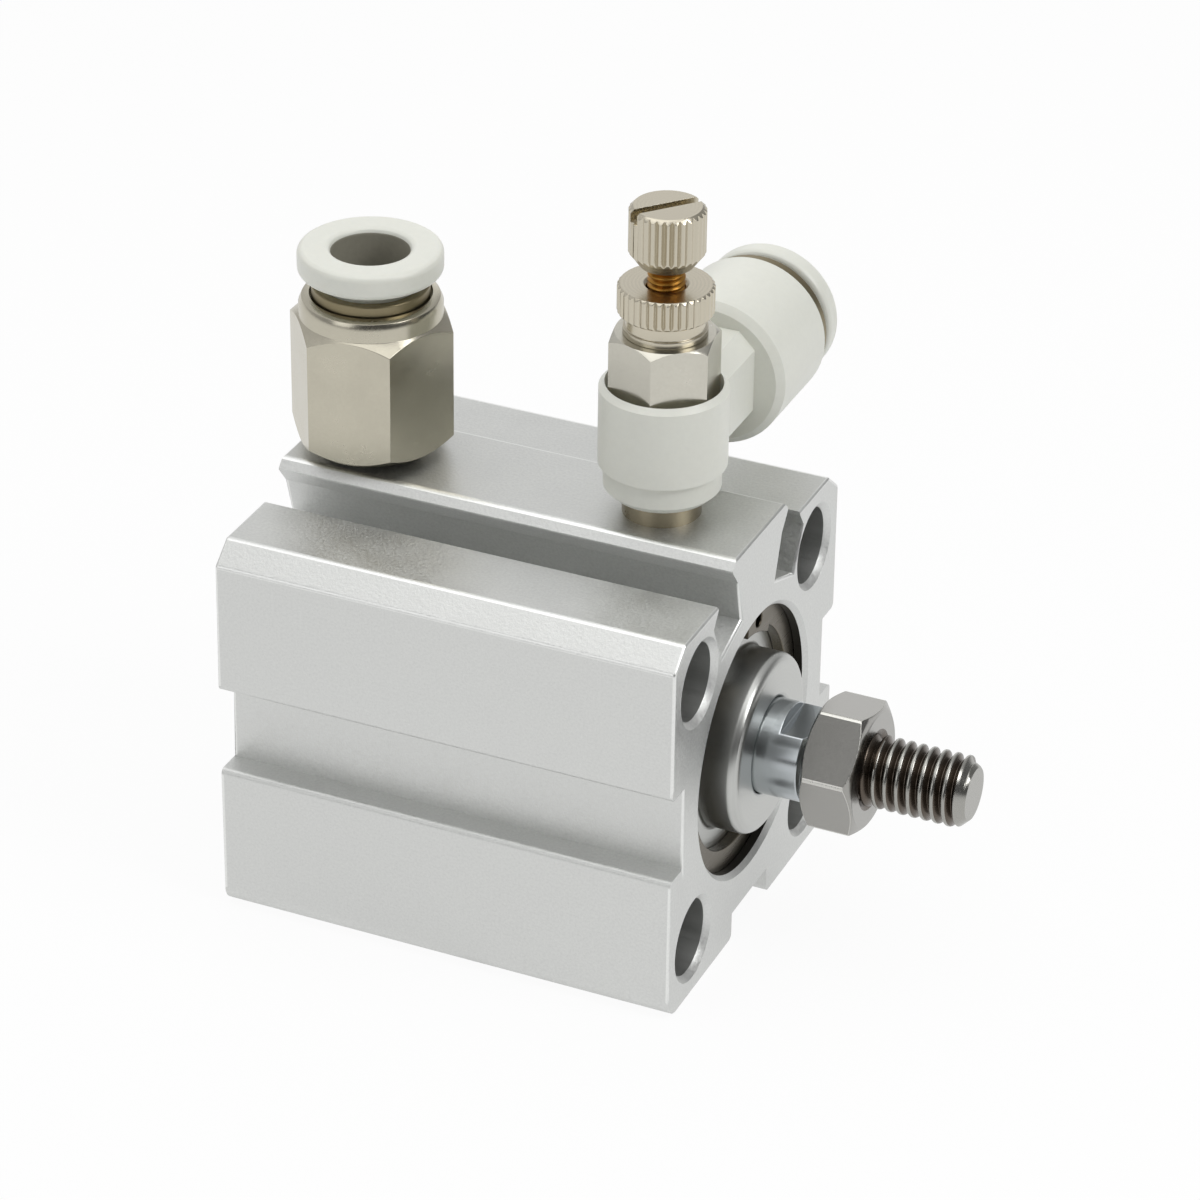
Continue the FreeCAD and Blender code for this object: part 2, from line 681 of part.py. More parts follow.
def make_rear_cover():
    """Turn the rear cover: stop spigot, flange with its ring groove and a shallow dish outside."""
    body = new_body("rear_cover")
    middle = f"({REAR_FACE} - rear_flange_length / 2)"
    groove_r = f"{SEAT_R} - o_ring_height"
    groove_front = f"-({middle} - o_ring_width / 2 - o_ring_side_play)"
    groove_back = f"-({middle} + o_ring_width / 2 + o_ring_side_play)"
    corners = [
        (minus(REAR_STOP), "0"),
        (minus(REAR_STOP), REAR_SPIGOT_R),
        (minus(REAR_FLANGE_FRONT), REAR_SPIGOT_R),
        (minus(REAR_FLANGE_FRONT), FLANGE_R),
        (groove_front, FLANGE_R),
        (groove_front, groove_r),
        (groove_back, groove_r),
        (groove_back, FLANGE_R),
        (minus(REAR_FACE), FLANGE_R),
        (minus(REAR_FACE), half("rear_dish_d")),
        (f"-({REAR_FACE} - rear_dish_depth)", f"{half('rear_dish_d')} - rear_dish_depth"),
        (f"-({REAR_FACE} - rear_dish_depth)", "0"),
    ]
    turn(body, "blank", "X", corners)
    make_ring("rear_cover_o_ring", "X", groove_r, SEAT_R,
              f"-({middle} + o_ring_width / 2)", f"-({middle} - o_ring_width / 2)")
    return body


def make_rod():
    """Turn the rod, mill its wrench flats and drill both ends."""
    body = new_body("piston_rod")
    stud_hole, screw_hole = half("stud_root_d"), half("screw_d")
    screw_floor = f"-({ROD_BACK} - screw_length)"
    corners = [
        (minus(ROD_BACK), screw_hole),
        (screw_floor, screw_hole),
        (screw_floor, "0"),
        ("rod_reach - stud_grip", "0"),
        ("rod_reach - stud_grip", stud_hole),
        ("rod_reach", stud_hole),
        ("rod_reach", "rod_d / 2 - rod_chamfer"),
        ("rod_reach - rod_chamfer", half("rod_d")),
        (minus(ROD_BACK), half("rod_d")),
    ]
    turn(body, "blank", "X", corners)
    flats = new_sketch(body, "flats", "YZ", ("0", "0", "rod_reach"))
    for low, high in ((FLAT_R, "rod_d"), ("-rod_d", minus(FLAT_R))):
        add_outline(flats, [("-rod_d", low), ("rod_d", low), ("rod_d", high), ("-rod_d", high)])
    push(body, "flat_cut", flats, "flat_length", cut=True)
    return body


def make_rod_end():
    """Make the threaded stud and its hexagon nut, which meet at the thread's pitch line."""
    stud = new_body("rod_end_stud")
    tip = "stud_d / 2 - stud_chamfer"
    grip = "rod_reach - stud_grip"
    corners = [
        (grip, "0"),
        (grip, half("stud_root_d")),
        ("rod_reach", half("stud_root_d")),
        ("rod_reach", PITCH_R),
        (FREE_THREAD, PITCH_R),
        (FREE_THREAD, half("stud_d")),
        ("stud_reach - stud_chamfer", half("stud_d")),
        ("stud_reach", tip),
        ("stud_reach", "0"),
    ]
    turn(stud, "blank", "X", corners)
    nut = new_body("rod_nut")
    blank = hex_sketch(nut, "hexagon", "YZ", ("0", "0", "rod_reach"), "nut_across", "nut_turn + 90")
    push(nut, "blank", blank, "nut_thick")
    corner_r, face_r = "nut_across / 2 / cos(30)", "nut_across * 0.475"
    fall = f"({corner_r} - {face_r}) * tan(30)"
    for name, face, inward in (("rear", "rod_reach", "+"), ("front", NUT_FRONT, "-")):
        outside = "-" if inward == "+" else "+"
        chamfer = [
            (f"{face} {outside} 1", face_r),
            (face, face_r),
            (f"{face} {inward} {fall}", corner_r),
            (f"{face} {inward} {fall}", "nut_across"),
            (f"{face} {outside} 1", "nut_across"),
        ]
        turn(nut, f"{name}_chamfer", "X", chamfer, cut=True)
    hole, sink = f"{PITCH_R} + thread_play", "stud_d / 2 + edge_break"
    bore = [
        ("rod_reach", "0"),
        ("rod_reach", sink),
        ("rod_reach + edge_break", hole),
        (f"{NUT_FRONT} - edge_break", hole),
        (NUT_FRONT, sink),
        (NUT_FRONT, "0"),
    ]
    turn(nut, "bore", "X", bore, cut=True)
    return stud, nut


def make_piston():
    """Turn the piston with grooves for seal and wear ring and recesses for bumpers, rod and screw."""
    body = new_body("piston")
    seal_front = f"({PISTON_FRONT} + groove_land + wear_ring_width + 2 * groove_play + groove_land)"
    seal_back = f"({seal_front} + piston_seal_width + 2 * groove_play)"
    wear_front = f"({PISTON_FRONT} + groove_land)"
    wear_back = f"({wear_front} + wear_ring_width + 2 * groove_play)"
    seal_floor = f"{PISTON_R} - seal_groove_depth"
    wear_floor = f"{PISTON_R} - wear_groove_depth"
    bumper_in, bumper_out = BUMPER_INNER_R, BUMPER_OUTER_R
    head_floor = f"-({PISTON_BACK} - screw_head_height - end_gap)"
    corners = [
        (minus(ROD_BACK), half("screw_d")),
        (minus(ROD_BACK), half("rod_d")),
        (minus(PISTON_FRONT), half("rod_d")),
        (minus(PISTON_FRONT), bumper_in),
        (f"-({PISTON_FRONT} + bumper_depth)", bumper_in),
        (f"-({PISTON_FRONT} + bumper_depth)", bumper_out),
        (minus(PISTON_FRONT), bumper_out),
        (minus(PISTON_FRONT), PISTON_R),
        (minus(wear_front), PISTON_R),
        (minus(wear_front), wear_floor),
        (minus(wear_back), wear_floor),
        (minus(wear_back), PISTON_R),
        (minus(seal_front), PISTON_R),
        (minus(seal_front), seal_floor),
        (minus(seal_back), seal_floor),
        (minus(seal_back), PISTON_R),
        (minus(PISTON_BACK), PISTON_R),
        (minus(PISTON_BACK), bumper_out),
        (f"-({PISTON_BACK} - bumper_depth)", bumper_out),
        (f"-({PISTON_BACK} - bumper_depth)", bumper_in),
        (minus(PISTON_BACK), bumper_in),
        (minus(PISTON_BACK), f"{half('screw_head_d')} + end_gap"),
        (head_floor, f"{half('screw_head_d')} + end_gap"),
        (head_floor, half("screw_d")),
    ]
    turn(body, "blank", "X", corners)
    wall = "bore_d / 2 - wall_play"
    make_ring("wear_ring", "X", f"{wear_floor} + groove_play", wall,
              f"-({wear_back} - groove_play)", f"-({wear_front} + groove_play)")
    seal = new_body("piston_seal")
    lip = "piston_seal_width / 4"
    start, end = f"-({seal_back} - groove_play)", f"-({seal_front} + groove_play)"
    inner = f"{seal_floor} + groove_play"
    profile = [
        (start, inner),
        (end, inner),
        (end, f"{wall} - 2 * piston_play"),
        (f"{end} - {lip}", wall),
        (f"({start} + {end}) / 2", f"{wall} - 3 * piston_play"),
        (f"{start} + {lip}", wall),
        (start, f"{wall} - 2 * piston_play"),
    ]
    turn(seal, "ring", "X", profile)
    make_ring("front_bumper", "X", bumper_in, bumper_out,
              f"-({PISTON_FRONT} + bumper_depth)", f"-({PISTON_FRONT} - bumper_stand)")
    make_ring("rear_bumper", "X", bumper_in, bumper_out,
              f"-({PISTON_BACK} + bumper_stand)", f"-({PISTON_BACK} - bumper_depth)")
    return body


def make_piston_screw():
    """Turn the screw that clamps the piston to the rod and broach its hexagon socket."""
    body = new_body("piston_screw")
    under_head = f"-({PISTON_BACK} - screw_head_height - end_gap)"
    head_back = f"-({PISTON_BACK} - end_gap)"
    tip = f"-({ROD_BACK} - screw_length + screw_d / 4)"
    corners = [
        (head_back, "0"),
        (head_back, half("screw_head_d")),
        (under_head, half("screw_head_d")),
        (under_head, half("screw_d")),
        (tip, half("screw_d")),
        (tip, "0"),
    ]
    turn(body, "blank", "X", corners)
    socket = hex_sketch(body, "socket", "YZ", ("0", "0", head_back), "screw_socket_across", "0")
    push(body, "socket_cut", socket, "screw_socket_depth", cut=True, reverse=True)
    return body


def cartridge_spots(mouth):
    """Give the heights of the push-in cartridge's parts below a fitting's mouth."""
    floor = f"({mouth} - cartridge_depth)"
    seal_top = f"({floor} + tube_seal_length)"
    collet_foot = f"({seal_top} + cartridge_gap)"
    collet_top = f"({collet_foot} + collet_length)"
    return floor, seal_top, collet_foot, collet_top


def make_cartridge(prefix, spot, rotation, mouth, guide, collar):
    """Make a fitting's tube seal, collet, guide ring and release collar, with the tube along local +Z."""
    floor, seal_top, collet_foot, collet_top = cartridge_spots(mouth)
    room, tube = ROOM_R, SOCKET_R
    seal = new_body(f"{prefix}_tube_seal", spot, rotation)
    seal_corners = [
        (tube, floor),
        (room, floor),
        (room, seal_top),
        (f"{room} - collet_wall", seal_top),
        (f"({room} + {tube}) / 2", f"{seal_top} - tube_seal_length / 2"),
        (tube, f"{seal_top} - cartridge_gap"),
    ]
    turn(seal, "ring", "Z", seal_corners)

    collet = new_body(f"{prefix}_collet", spot, rotation)
    collet_corners = [
        (tube, collet_foot),
        (f"{tube} + collet_wall", collet_foot),
        (room, f"{collet_top} - collet_wall"),
        (room, collet_top),
        (f"{room} - 2 * collet_wall", collet_top),
        (f"{room} - 2 * collet_wall", f"{collet_top} - collet_wall"),
    ]
    turn(collet, "cone", "Z", collet_corners)
    slot = new_sketch(collet, "slot", "XY", ("0", "0", f"{collet_top} - 2 * collet_wall"))
    side = half("collet_slot_width")
    near = "tube_d / 4"
    add_outline(slot, [(near, minus(side)), (room, minus(side)), (room, side), (near, side)])
    cut = push(collet, "slot_cut", slot, "collet_length", cut=True)
    repeat(collet, cut, "Z", "collet_slots")

    guide_r, guide_thick = guide
    guide_foot = f"({mouth} - guide_sunk)"
    guide_bore = f"{room} - guide_wall"
    ring = new_body(f"{prefix}_guide_ring", spot, rotation)
    guide_corners = [
        (guide_bore, guide_foot),
        (room, guide_foot),
        (room, mouth),
        (guide_r, mouth),
        (guide_r, f"{mouth} + {guide_thick}"),
        (guide_bore, f"{mouth} + {guide_thick}"),
    ]
    if guide_r == ROOM_R:
        del guide_corners[2:4]
    turn(ring, "ring", "Z", guide_corners)

    stand, thick = collar
    under, top = f"({mouth} + {stand})", f"({mouth} + {stand} + {thick})"
    sleeve, hole = f"{guide_bore} - collar_play", COLLAR_HOLE_R
    barb_top = f"({guide_foot} - cartridge_gap)"
    barb_foot = f"({barb_top} - collar_barb_length)"
    release = new_body(f"{prefix}_release_collar", spot, rotation)
    collar_corners = [
        (hole, barb_foot),
        (sleeve, barb_foot),
        (f"{sleeve} + collar_barb", barb_top),
        (sleeve, barb_top),
        (sleeve, under),
        (COLLAR_R, under),
        (COLLAR_R, top),
        (hole, top),
    ]
    turn(release, "collar", "Z", collar_corners)
    rims = [("Z", under, COLLAR_R), ("Z", top, COLLAR_R), ("Z", top, hole)]
    chamfer_rims(release, "soft_edges", "collar_chamfer", rims)


def make_connector():
    """Make the straight connector on the rear port: gasket, hexagon body and cartridge."""
    spot = (f"-({BODY_LENGTH} - rear_port_inset)", "0", RIB_TOP)
    stud, passage = half("port_d"), half("fitting_passage_d")
    make_ring("connector_gasket", "Z", f"{stud} + thread_play", half("gasket_d"), "0", "gasket_thick", spot)

    body = new_body("connector_body", spot)
    foot, mouth = "connector_hex_foot", "connector_mouth"
    blank = hex_sketch(body, "hexagon", "XY", ("0", "0", foot), f"2 * {CONNECTOR_R}", "connector_turn")
    push(body, "blank", blank, f"{mouth} - {foot}")
    corner_r = f"{CONNECTOR_R} / cos(30)"
    past = f"2 * {CONNECTOR_R}"
    lower = [
        (CONNECTOR_FOOT_R, foot),
        (corner_r, f"{foot} + connector_foot_chamfer"),
        (past, f"{foot} + connector_foot_chamfer"),
        (past, f"{foot} - 1"),
        (CONNECTOR_FOOT_R, f"{foot} - 1"),
    ]
    turn(body, "foot_chamfer", "Z", lower, cut=True)
    shoulder = CONNECTOR_SHOULDER_R
    upper = [
        (corner_r, CONNECTOR_HEX_TOP),
        (shoulder, f"{CONNECTOR_HEX_TOP} + connector_cone"),
        (shoulder, f"{mouth} - connector_rim_round"),
        (f"{shoulder} - connector_rim_round * 0.3", f"{mouth} - connector_rim_round * 0.3"),
        (f"{shoulder} - connector_rim_round", mouth),
        (f"{shoulder} - connector_rim_round", f"{mouth} + 1"),
        (past, f"{mouth} + 1"),
        (past, CONNECTOR_HEX_TOP),
    ]
    turn(body, "shoulder", "Z", upper, cut=True)
    stud_corners = [
        ("0", minus(PORT_STUD)),
        (stud, minus(PORT_STUD)),
        (stud, "gasket_thick"),
        (half("connector_collar_d"), "gasket_thick"),
        (half("connector_collar_d"), foot),
        (CONNECTOR_FOOT_R, foot),
        (CONNECTOR_FOOT_R, f"{foot} + connector_foot_chamfer"),
        ("0", f"{foot} + connector_foot_chamfer"),
    ]
    turn(body, "stud", "Z", stud_corners)
    floor = cartridge_spots(mouth)[0]
    room = ROOM_R
    inside = [
        ("0", minus(PORT_STUD)),
        (passage, minus(PORT_STUD)),
        (passage, f"{floor} - socket_depth"),
        (SOCKET_R, f"{floor} - socket_depth"),
        (SOCKET_R, floor),
        (room, floor),
        (room, f"{mouth} - connector_rim_depth"),
        (CONNECTOR_RIM_R, f"{mouth} - connector_rim_depth"),
        (CONNECTOR_RIM_R, mouth),
        ("0", mouth),
    ]
    turn(body, "inside", "Z", inside, cut=True)
    guide = (ROOM_R, "connector_guide_stand")
    collar = ("connector_collar_stand", "connector_collar_thick")
    make_cartridge("connector", spot, FreeCAD.Rotation(), mouth, guide, collar)


def make_stem(spot):
    """Make the speed controller's stem: port stud, grooved barrel and hexagon, drilled for the needle."""
    body = new_body("controller_stem", spot)
    stud, base, waist = half("port_d"), BASE_R, WAIST_R
    groove = f"{SLEEVE_BORE_R} - stem_ring_height"
    ring_half = half(STEM_GROOVE)
    recess = RECESS_R
    turned = [
        ("0", minus(PORT_STUD)),
        (stud, minus(PORT_STUD)),
        (stud, "stem_recess_depth"),
        (recess, "stem_recess_depth"),
        (recess, "0"),
        (base, "0"),
        (base, f"{STEM_LOWER_RING} - {ring_half}"),
        (groove, f"{STEM_LOWER_RING} - {ring_half}"),
        (groove, f"{STEM_LOWER_RING} + {ring_half}"),
        (base, f"{STEM_LOWER_RING} + {ring_half}"),
        (base, "waist_foot"),
        (waist, "waist_foot"),
        (waist, "waist_top"),
        (base, "waist_top"),
        (base, f"{STEM_UPPER_RING} - {ring_half}"),
        (groove, f"{STEM_UPPER_RING} - {ring_half}"),
        (groove, f"{STEM_UPPER_RING} + {ring_half}"),
        (base, f"{STEM_UPPER_RING} + {ring_half}"),
        (base, STEM_HEX_FOOT),
        ("0", STEM_HEX_FOOT),
    ]
    turn(body, "blank", "Z", turned)
    hexagon = hex_sketch(body, "hexagon", "XY", ("0", "0", STEM_HEX_FOOT), "stem_across", "stem_turn + 30")
    push(body, "hexagon_blank", hexagon, f"stem_hex_top - {STEM_HEX_FOOT}")
    face_r = "stem_across / 2"
    crown = [
        (face_r, "stem_hex_top + 1"),
        (face_r, "stem_hex_top"),
        (STEM_CORNER_R, "stem_hex_top - stem_chamfer"),
        ("stem_across", "stem_hex_top - stem_chamfer"),
        ("stem_across", "stem_hex_top + 1"),
    ]
    turn(body, "crown", "Z", crown, cut=True)
    passage, seat, room = half("fitting_passage_d"), half("needle_seat_d"), NEEDLE_ROOM_R
    seat_top = "needle_seat_foot + needle_seat_length"
    drilled = [
        ("0", minus(PORT_STUD)),
        (passage, minus(PORT_STUD)),
        (passage, "needle_seat_foot"),
        (seat, "needle_seat_foot"),
        (seat, seat_top),
        (room, seat_top),
        (room, "stem_hex_top - guide_seat_depth"),
        (half("guide_seat_d"), "stem_hex_top - guide_seat_depth"),
        (half("guide_seat_d"), "stem_hex_top"),
        ("0", "stem_hex_top"),
    ]
    turn(body, "drilling", "Z", drilled, cut=True)
    cross = new_sketch(body, "cross_holes", "XZ", ("0", "0", minus(f"2 * {BASE_R}")))
    add_circle(cross, "0", GALLERY, half("cross_hole_d"))
    push(body, "cross_drilling", cross, f"4 * {BASE_R}", cut=True, reverse=True)

    gasket = f"{recess} - sleeve_play"
    make_ring("controller_gasket", "Z", f"{stud} + thread_play", gasket, "0", "stem_recess_depth", spot)
    outer = f"({SLEEVE_BORE_R} - wall_play)"
    for name, middle in (("stem_lower_o_ring", STEM_LOWER_RING), ("stem_upper_o_ring", STEM_UPPER_RING)):
        foot, top = f"{middle} - stem_ring_width / 2", f"{middle} + stem_ring_width / 2"
        make_ring(name, "Z", groove, outer, foot, top, spot)
    seal = new_body("check_seal", spot)
    lip = f"({outer} + {waist}) / 2"
    seal_corners = [
        (waist, "waist_foot"),
        (lip, "waist_foot"),
        (outer, "waist_foot + check_seal_length"),
        (f"{outer} - {outer} / 10", "waist_foot + check_seal_length"),
        (f"{waist} + {outer} / 10", "waist_foot + check_seal_length / 2"),
        (waist, "waist_foot + check_seal_length"),
    ]
    turn(seal, "ring", "Z", seal_corners)


def make_needle(spot):
    """Make the needle guide, the needle with its ring, the lock ring and the adjusting knob."""
    hole = "(needle_d / 2 + thread_play)"
    guide = new_body("needle_guide", spot)
    guide_corners = [
        (hole, "stem_hex_top - guide_seat_depth"),
        (half("guide_seat_d"), "stem_hex_top - guide_seat_depth"),
        (half("guide_seat_d"), "stem_hex_top"),
        (half("neck_flange_d"), "stem_hex_top"),
        (half("neck_flange_d"), "stem_hex_top + neck_flange_thick"),
        (half("neck_d"), "stem_hex_top + neck_flange_thick"),
        (half("neck_d"), NECK_TOP),
        (hole, NECK_TOP),
    ]
    turn(guide, "blank", "Z", guide_corners)

    needle = new_body("needle_screw", spot)
    ring_floor = f"{NEEDLE_ROOM_R} - wall_play - needle_ring_height"
    ring_half = "(needle_ring_width / 2 + groove_play)"
    needle_corners = [
        ("0", NEEDLE_TIP),
        (half("needle_tip_d"), NEEDLE_TIP),
        (half("needle_cone_d"), CONE_TOP),
        (SHANK_R, CONE_TOP),
        (SHANK_R, f"{NEEDLE_RING} - {ring_half}"),
        (ring_floor, f"{NEEDLE_RING} - {ring_half}"),
        (ring_floor, f"{NEEDLE_RING} + {ring_half}"),
        (SHANK_R, f"{NEEDLE_RING} + {ring_half}"),
        (SHANK_R, SHANK_TOP),
        (half("needle_d"), SHANK_TOP),
        (half("needle_d"), NEEDLE_TOP),
        ("0", NEEDLE_TOP),
    ]
    turn(needle, "blank", "Z", needle_corners)
    make_ring("needle_o_ring", "Z", ring_floor, f"{NEEDLE_ROOM_R} - wall_play",
              f"{NEEDLE_RING} - needle_ring_width / 2", f"{NEEDLE_RING} + needle_ring_width / 2", spot)

    ring = new_body("lock_ring", spot)
    edge = "edge_break / 2"
    sink = "(needle_d / 2 + lock_ring_sink)"
    ring_corners = [
        (hole, LOCK_FOOT),
        (f"lock_ring_d / 2 - {edge}", LOCK_FOOT),
        (half("lock_ring_d"), f"{LOCK_FOOT} + {edge}"),
        (half("lock_ring_d"), f"{LOCK_TOP} - {edge}"),
        (f"lock_ring_d / 2 - {edge}", LOCK_TOP),
        (sink, LOCK_TOP),
        (hole, f"{LOCK_TOP} - ({sink} - {hole})"),
    ]
    turn(ring, "blank", "Z", ring_corners)
    add_knurl(ring, LOCK_FOOT, "lock_ring_height", "lock_ring_d", "lock_ring_teeth")

    knob = new_body("adjusting_knob", spot)
    top = f"({KNOB_FOOT} + knob_height)"
    knob_corners = [
        (hole, KNOB_FOOT),
        ("knob_d / 2 - knob_foot_chamfer", KNOB_FOOT),
        (half("knob_d"), f"{KNOB_FOOT} + knob_foot_height"),
        (half("knob_d"), f"{top} - knob_top_chamfer"),
        ("knob_d / 2 - knob_top_chamfer", top),
        ("0", top),
        ("0", f"{KNOB_FOOT} + knob_grip + thread_play"),
        (hole, f"{KNOB_FOOT} + knob_grip + thread_play"),
    ]
    turn(knob, "blank", "Z", knob_corners)
    add_knurl(knob, KNOB_FOOT, "knob_height", "knob_d", "knob_teeth")
    slot = new_sketch(knob, "slot", "XY", ("0", "0", top))
    reach, side = "knob_d", half("knob_slot_width")
    angle = "knob_slot_turn"
    ends = [(reach, side), (minus(reach), side), (minus(reach), minus(side)), (reach, minus(side))]
    slanted = []
    for along, across in ends:
        turned_x = f"({along}) * cos({angle}) - ({across}) * sin({angle})"
        turned_y = f"({along}) * sin({angle}) + ({across}) * cos({angle})"
        slanted.append((turned_x, turned_y))
    add_outline(slot, slanted)
    push(knob, "slot_cut", slot, "knob_slot_depth", cut=True)


def add_knurl(body, foot, height, diameter, teeth):
    """Cut straight V grooves around a grip."""
    groove = new_sketch(body, "groove", "XY", ("0", "0", foot))
    bottom, mouth = f"{half(diameter)} - tooth_depth", f"{half(diameter)} + tooth_depth"
    add_outline(groove, [(bottom, "0"), (mouth, "2 * tooth_depth"), (mouth, "-2 * tooth_depth")])
    cut = push(body, "groove_cut", groove, height, cut=True, reverse=True)
    repeat(body, cut, "Z", teeth)


def make_elbow(spot):
    """Mould the white elbow: swivel sleeve, web and arm, with the bores of the stem and of the tube."""
    body = new_body("elbow_body", spot)
    foot_r, sleeve_r = SLEEVE_FOOT_R, SLEEVE_R
    sleeve = [
        ("0", "sleeve_foot"),
        (foot_r, "sleeve_foot"),
        (foot_r, "sleeve_step"),
        (sleeve_r, "sleeve_step"),
        (sleeve_r, f"{SLEEVE_TOP} - sleeve_rim_round"),
        (f"{sleeve_r} - sleeve_rim_round", SLEEVE_TOP),
        ("0", SLEEVE_TOP),
    ]
    turn(body, "sleeve", "Z", sleeve)
    rims = [("Z", "sleeve_foot", foot_r)]
    chamfer_rims(body, "sleeve_foot_edge", "sleeve_foot_chamfer", rims)
    web = new_sketch(body, "web", "XZ")
    side = half("web_width")
    right = [
        (half("web_top_width"), "web_top"),
        (side, "web_top - web_shoulder"),
        (side, "web_foot + web_taper"),
        (half("web_foot_width"), "web_foot"),
    ]
    left = [(minus(across), up) for across, up in reversed(right)]
    add_outline(web, right + left)
    push(body, "web_pad", web, "arm_foot + arm_chamfer", reverse=True)
    arm = new_sketch(body, "arm", "XZ", ("0", "0", minus("arm_foot")))
    add_circle(arm, "0", "arm_height", ARM_R)
    push(body, "arm_pad", arm, "arm_mouth - arm_foot", reverse=True)
    chamfer_rims(body, "arm_edge", "arm_chamfer", [("Y", "arm_foot", ARM_R)])
    pocket_r = f"({STEM_CORNER_R} + hex_room)"
    pocket_floor = f"{STEM_HEX_FOOT} - hex_room"
    top = f"web_top + {ARM_R}"
    stem_bore = [
        ("0", "sleeve_foot - 1"),
        (SLEEVE_BORE_R, "sleeve_foot - 1"),
        (SLEEVE_BORE_R, pocket_floor),
        (pocket_r, pocket_floor),
        (pocket_r, SLEEVE_TOP),
        (sleeve_r, SLEEVE_TOP),
        (sleeve_r, top),
        ("0", top),
    ]
    turn(body, "stem_bore", "Z", stem_bore, cut=True)
    floor = cartridge_spots("arm_mouth")[0]
    for name, radius, depth in (
        ("room", ROOM_R, floor),
        ("socket", SOCKET_R, f"{floor} - socket_depth"),
    ):
        bore = new_sketch(body, name, "XZ", ("0", "0", minus("arm_mouth")))
        add_circle(bore, "0", "arm_height", radius)
        push(body, f"{name}_bore", bore, f"arm_mouth - ({depth})", cut=True, reverse=True)
    passage = new_sketch(body, "passage", "XZ", ("0", "0", minus(half(BASE_R))))
    add_circle(passage, "0", GALLERY, half("fitting_passage_d"))
    push(body, "passage_bore", passage, f"{floor} - socket_depth", cut=True)
    arm_spot = (spot[0], "0", f"{RIB_TOP} + arm_height")
    guide = (ELBOW_RING_R, "elbow_ring_thick")
    collar = ("elbow_collar_stand", "elbow_collar_thick")
    make_cartridge("elbow", arm_spot, ALONG_Y, "arm_mouth", guide, collar)


def check_and_write():
    """Stop on any failed object, then write one file for each sub-part."""
    failed = [item.Name for item in doc.Objects if {"Invalid", "Error"} & set(item.State)]
    if failed:
        raise RuntimeError(f"failed objects: {failed}")
    bodies = [item for item in doc.Objects if item.TypeId == "PartDesign::Body"]
    for body in bodies:
        if body.Shape.isNull() or not body.Shape.isValid() or len(body.Shape.Solids) != 1:
            raise RuntimeError(f"{body.Label} is not one valid solid")
    os.makedirs("parts", exist_ok=True)
    for body in bodies:
        body.Shape.exportStep(f"parts/{body.Label}.step")
    print(f"{len(bodies)} sub-parts written")


def main():
    """Build every sub-part and write it."""
    make_barrel()
    make_front_cover()
    make_rear_cover()
    make_retaining_ring("front_retaining_ring", (minus("ring_depth"), "0", "0"))
    make_retaining_ring("rear_retaining_ring", (minus(REAR_FACE), "0", "0"))
    make_rod_seal()
    make_ring("rod_bush", "X", ROD_HOLE_R, BUSH_R, minus(FRONT_STOP), minus(BUSH_FRONT))
    make_rod()
    make_rod_end()
    make_piston()
    make_piston_screw()
    make_connector()
    front_port = (minus("front_port_inset"), "0", RIB_TOP)
    make_stem(front_port)
    make_needle(front_port)
    make_elbow(front_port)
    doc.recompute()
    check_and_write()


main()
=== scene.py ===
"""Dress the compact air cylinder: finishes, broken edges, cut threads, a studio and the camera."""

import logging
import math
from abc import ABC, abstractmethod
from collections.abc import Callable
from dataclasses import dataclass, field
from enum import Enum

import bmesh
import bpy
from mathutils import Matrix, Vector

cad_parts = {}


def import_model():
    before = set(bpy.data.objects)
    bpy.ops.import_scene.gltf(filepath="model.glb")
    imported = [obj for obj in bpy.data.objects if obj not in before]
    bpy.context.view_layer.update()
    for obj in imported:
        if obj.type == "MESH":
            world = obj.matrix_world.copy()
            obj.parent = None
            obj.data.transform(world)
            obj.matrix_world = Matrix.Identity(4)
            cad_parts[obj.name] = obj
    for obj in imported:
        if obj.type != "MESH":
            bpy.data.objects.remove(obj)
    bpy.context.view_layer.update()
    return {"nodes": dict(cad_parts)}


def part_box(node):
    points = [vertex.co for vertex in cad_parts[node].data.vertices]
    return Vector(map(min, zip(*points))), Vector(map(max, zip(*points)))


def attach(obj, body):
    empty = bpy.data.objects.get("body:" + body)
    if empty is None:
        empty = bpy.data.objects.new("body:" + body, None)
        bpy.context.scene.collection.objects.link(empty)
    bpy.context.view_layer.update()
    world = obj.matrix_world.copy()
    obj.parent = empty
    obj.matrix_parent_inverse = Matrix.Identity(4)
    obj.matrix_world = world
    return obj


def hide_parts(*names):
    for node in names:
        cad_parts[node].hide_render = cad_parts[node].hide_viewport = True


LOG = logging.getLogger("compact_cylinder")
MM = 0.001
Triple = tuple[float, float, float]
Colour = tuple[float, float, float, float]
WHITE: Colour = (1.0, 1.0, 1.0, 1.0)

# The photograph's width, and the width of the sensor that the lens is worked out for.
PHOTO_SIDE_PX = 1200
SENSOR_MM = 36.0

# Corners nearer to each other than this are one, and faces that differ less than this are one.
WELD_MM = 0.0005
FLAT_DEG = 0.2

# Material slots of a dressed piece: its faces, its broken edges and the first of its zones.
FACE_SLOT = 0
EDGE_SLOT = 1
ZONE_SLOT = 2
SAME_SLOT = -1  # tells a bevel to take the slot of the faces beside it

WAVE_RATE = 20.0  # radians of a ring pattern in each unit of length, at a scale of one
DRAWN_STRETCH = 40.0  # length of a drawn line over its width
CLOUD_GRAINS = 14.0  # width of a broad patch, in grains
NOISE_SPAN = {"From Min": 0.3, "From Max": 0.7}  # most of a noise's values lie in here
ROUGHNESS_WANDER = 3.0  # how many times as far as the colour the roughness wanders
PLASTIC_DEPTH_MM = 0.6  # how far light spreads inside a plastic
PLASTIC_SPREAD: Triple = (1.0, 0.9, 0.8)  # share of that depth for red, green and blue

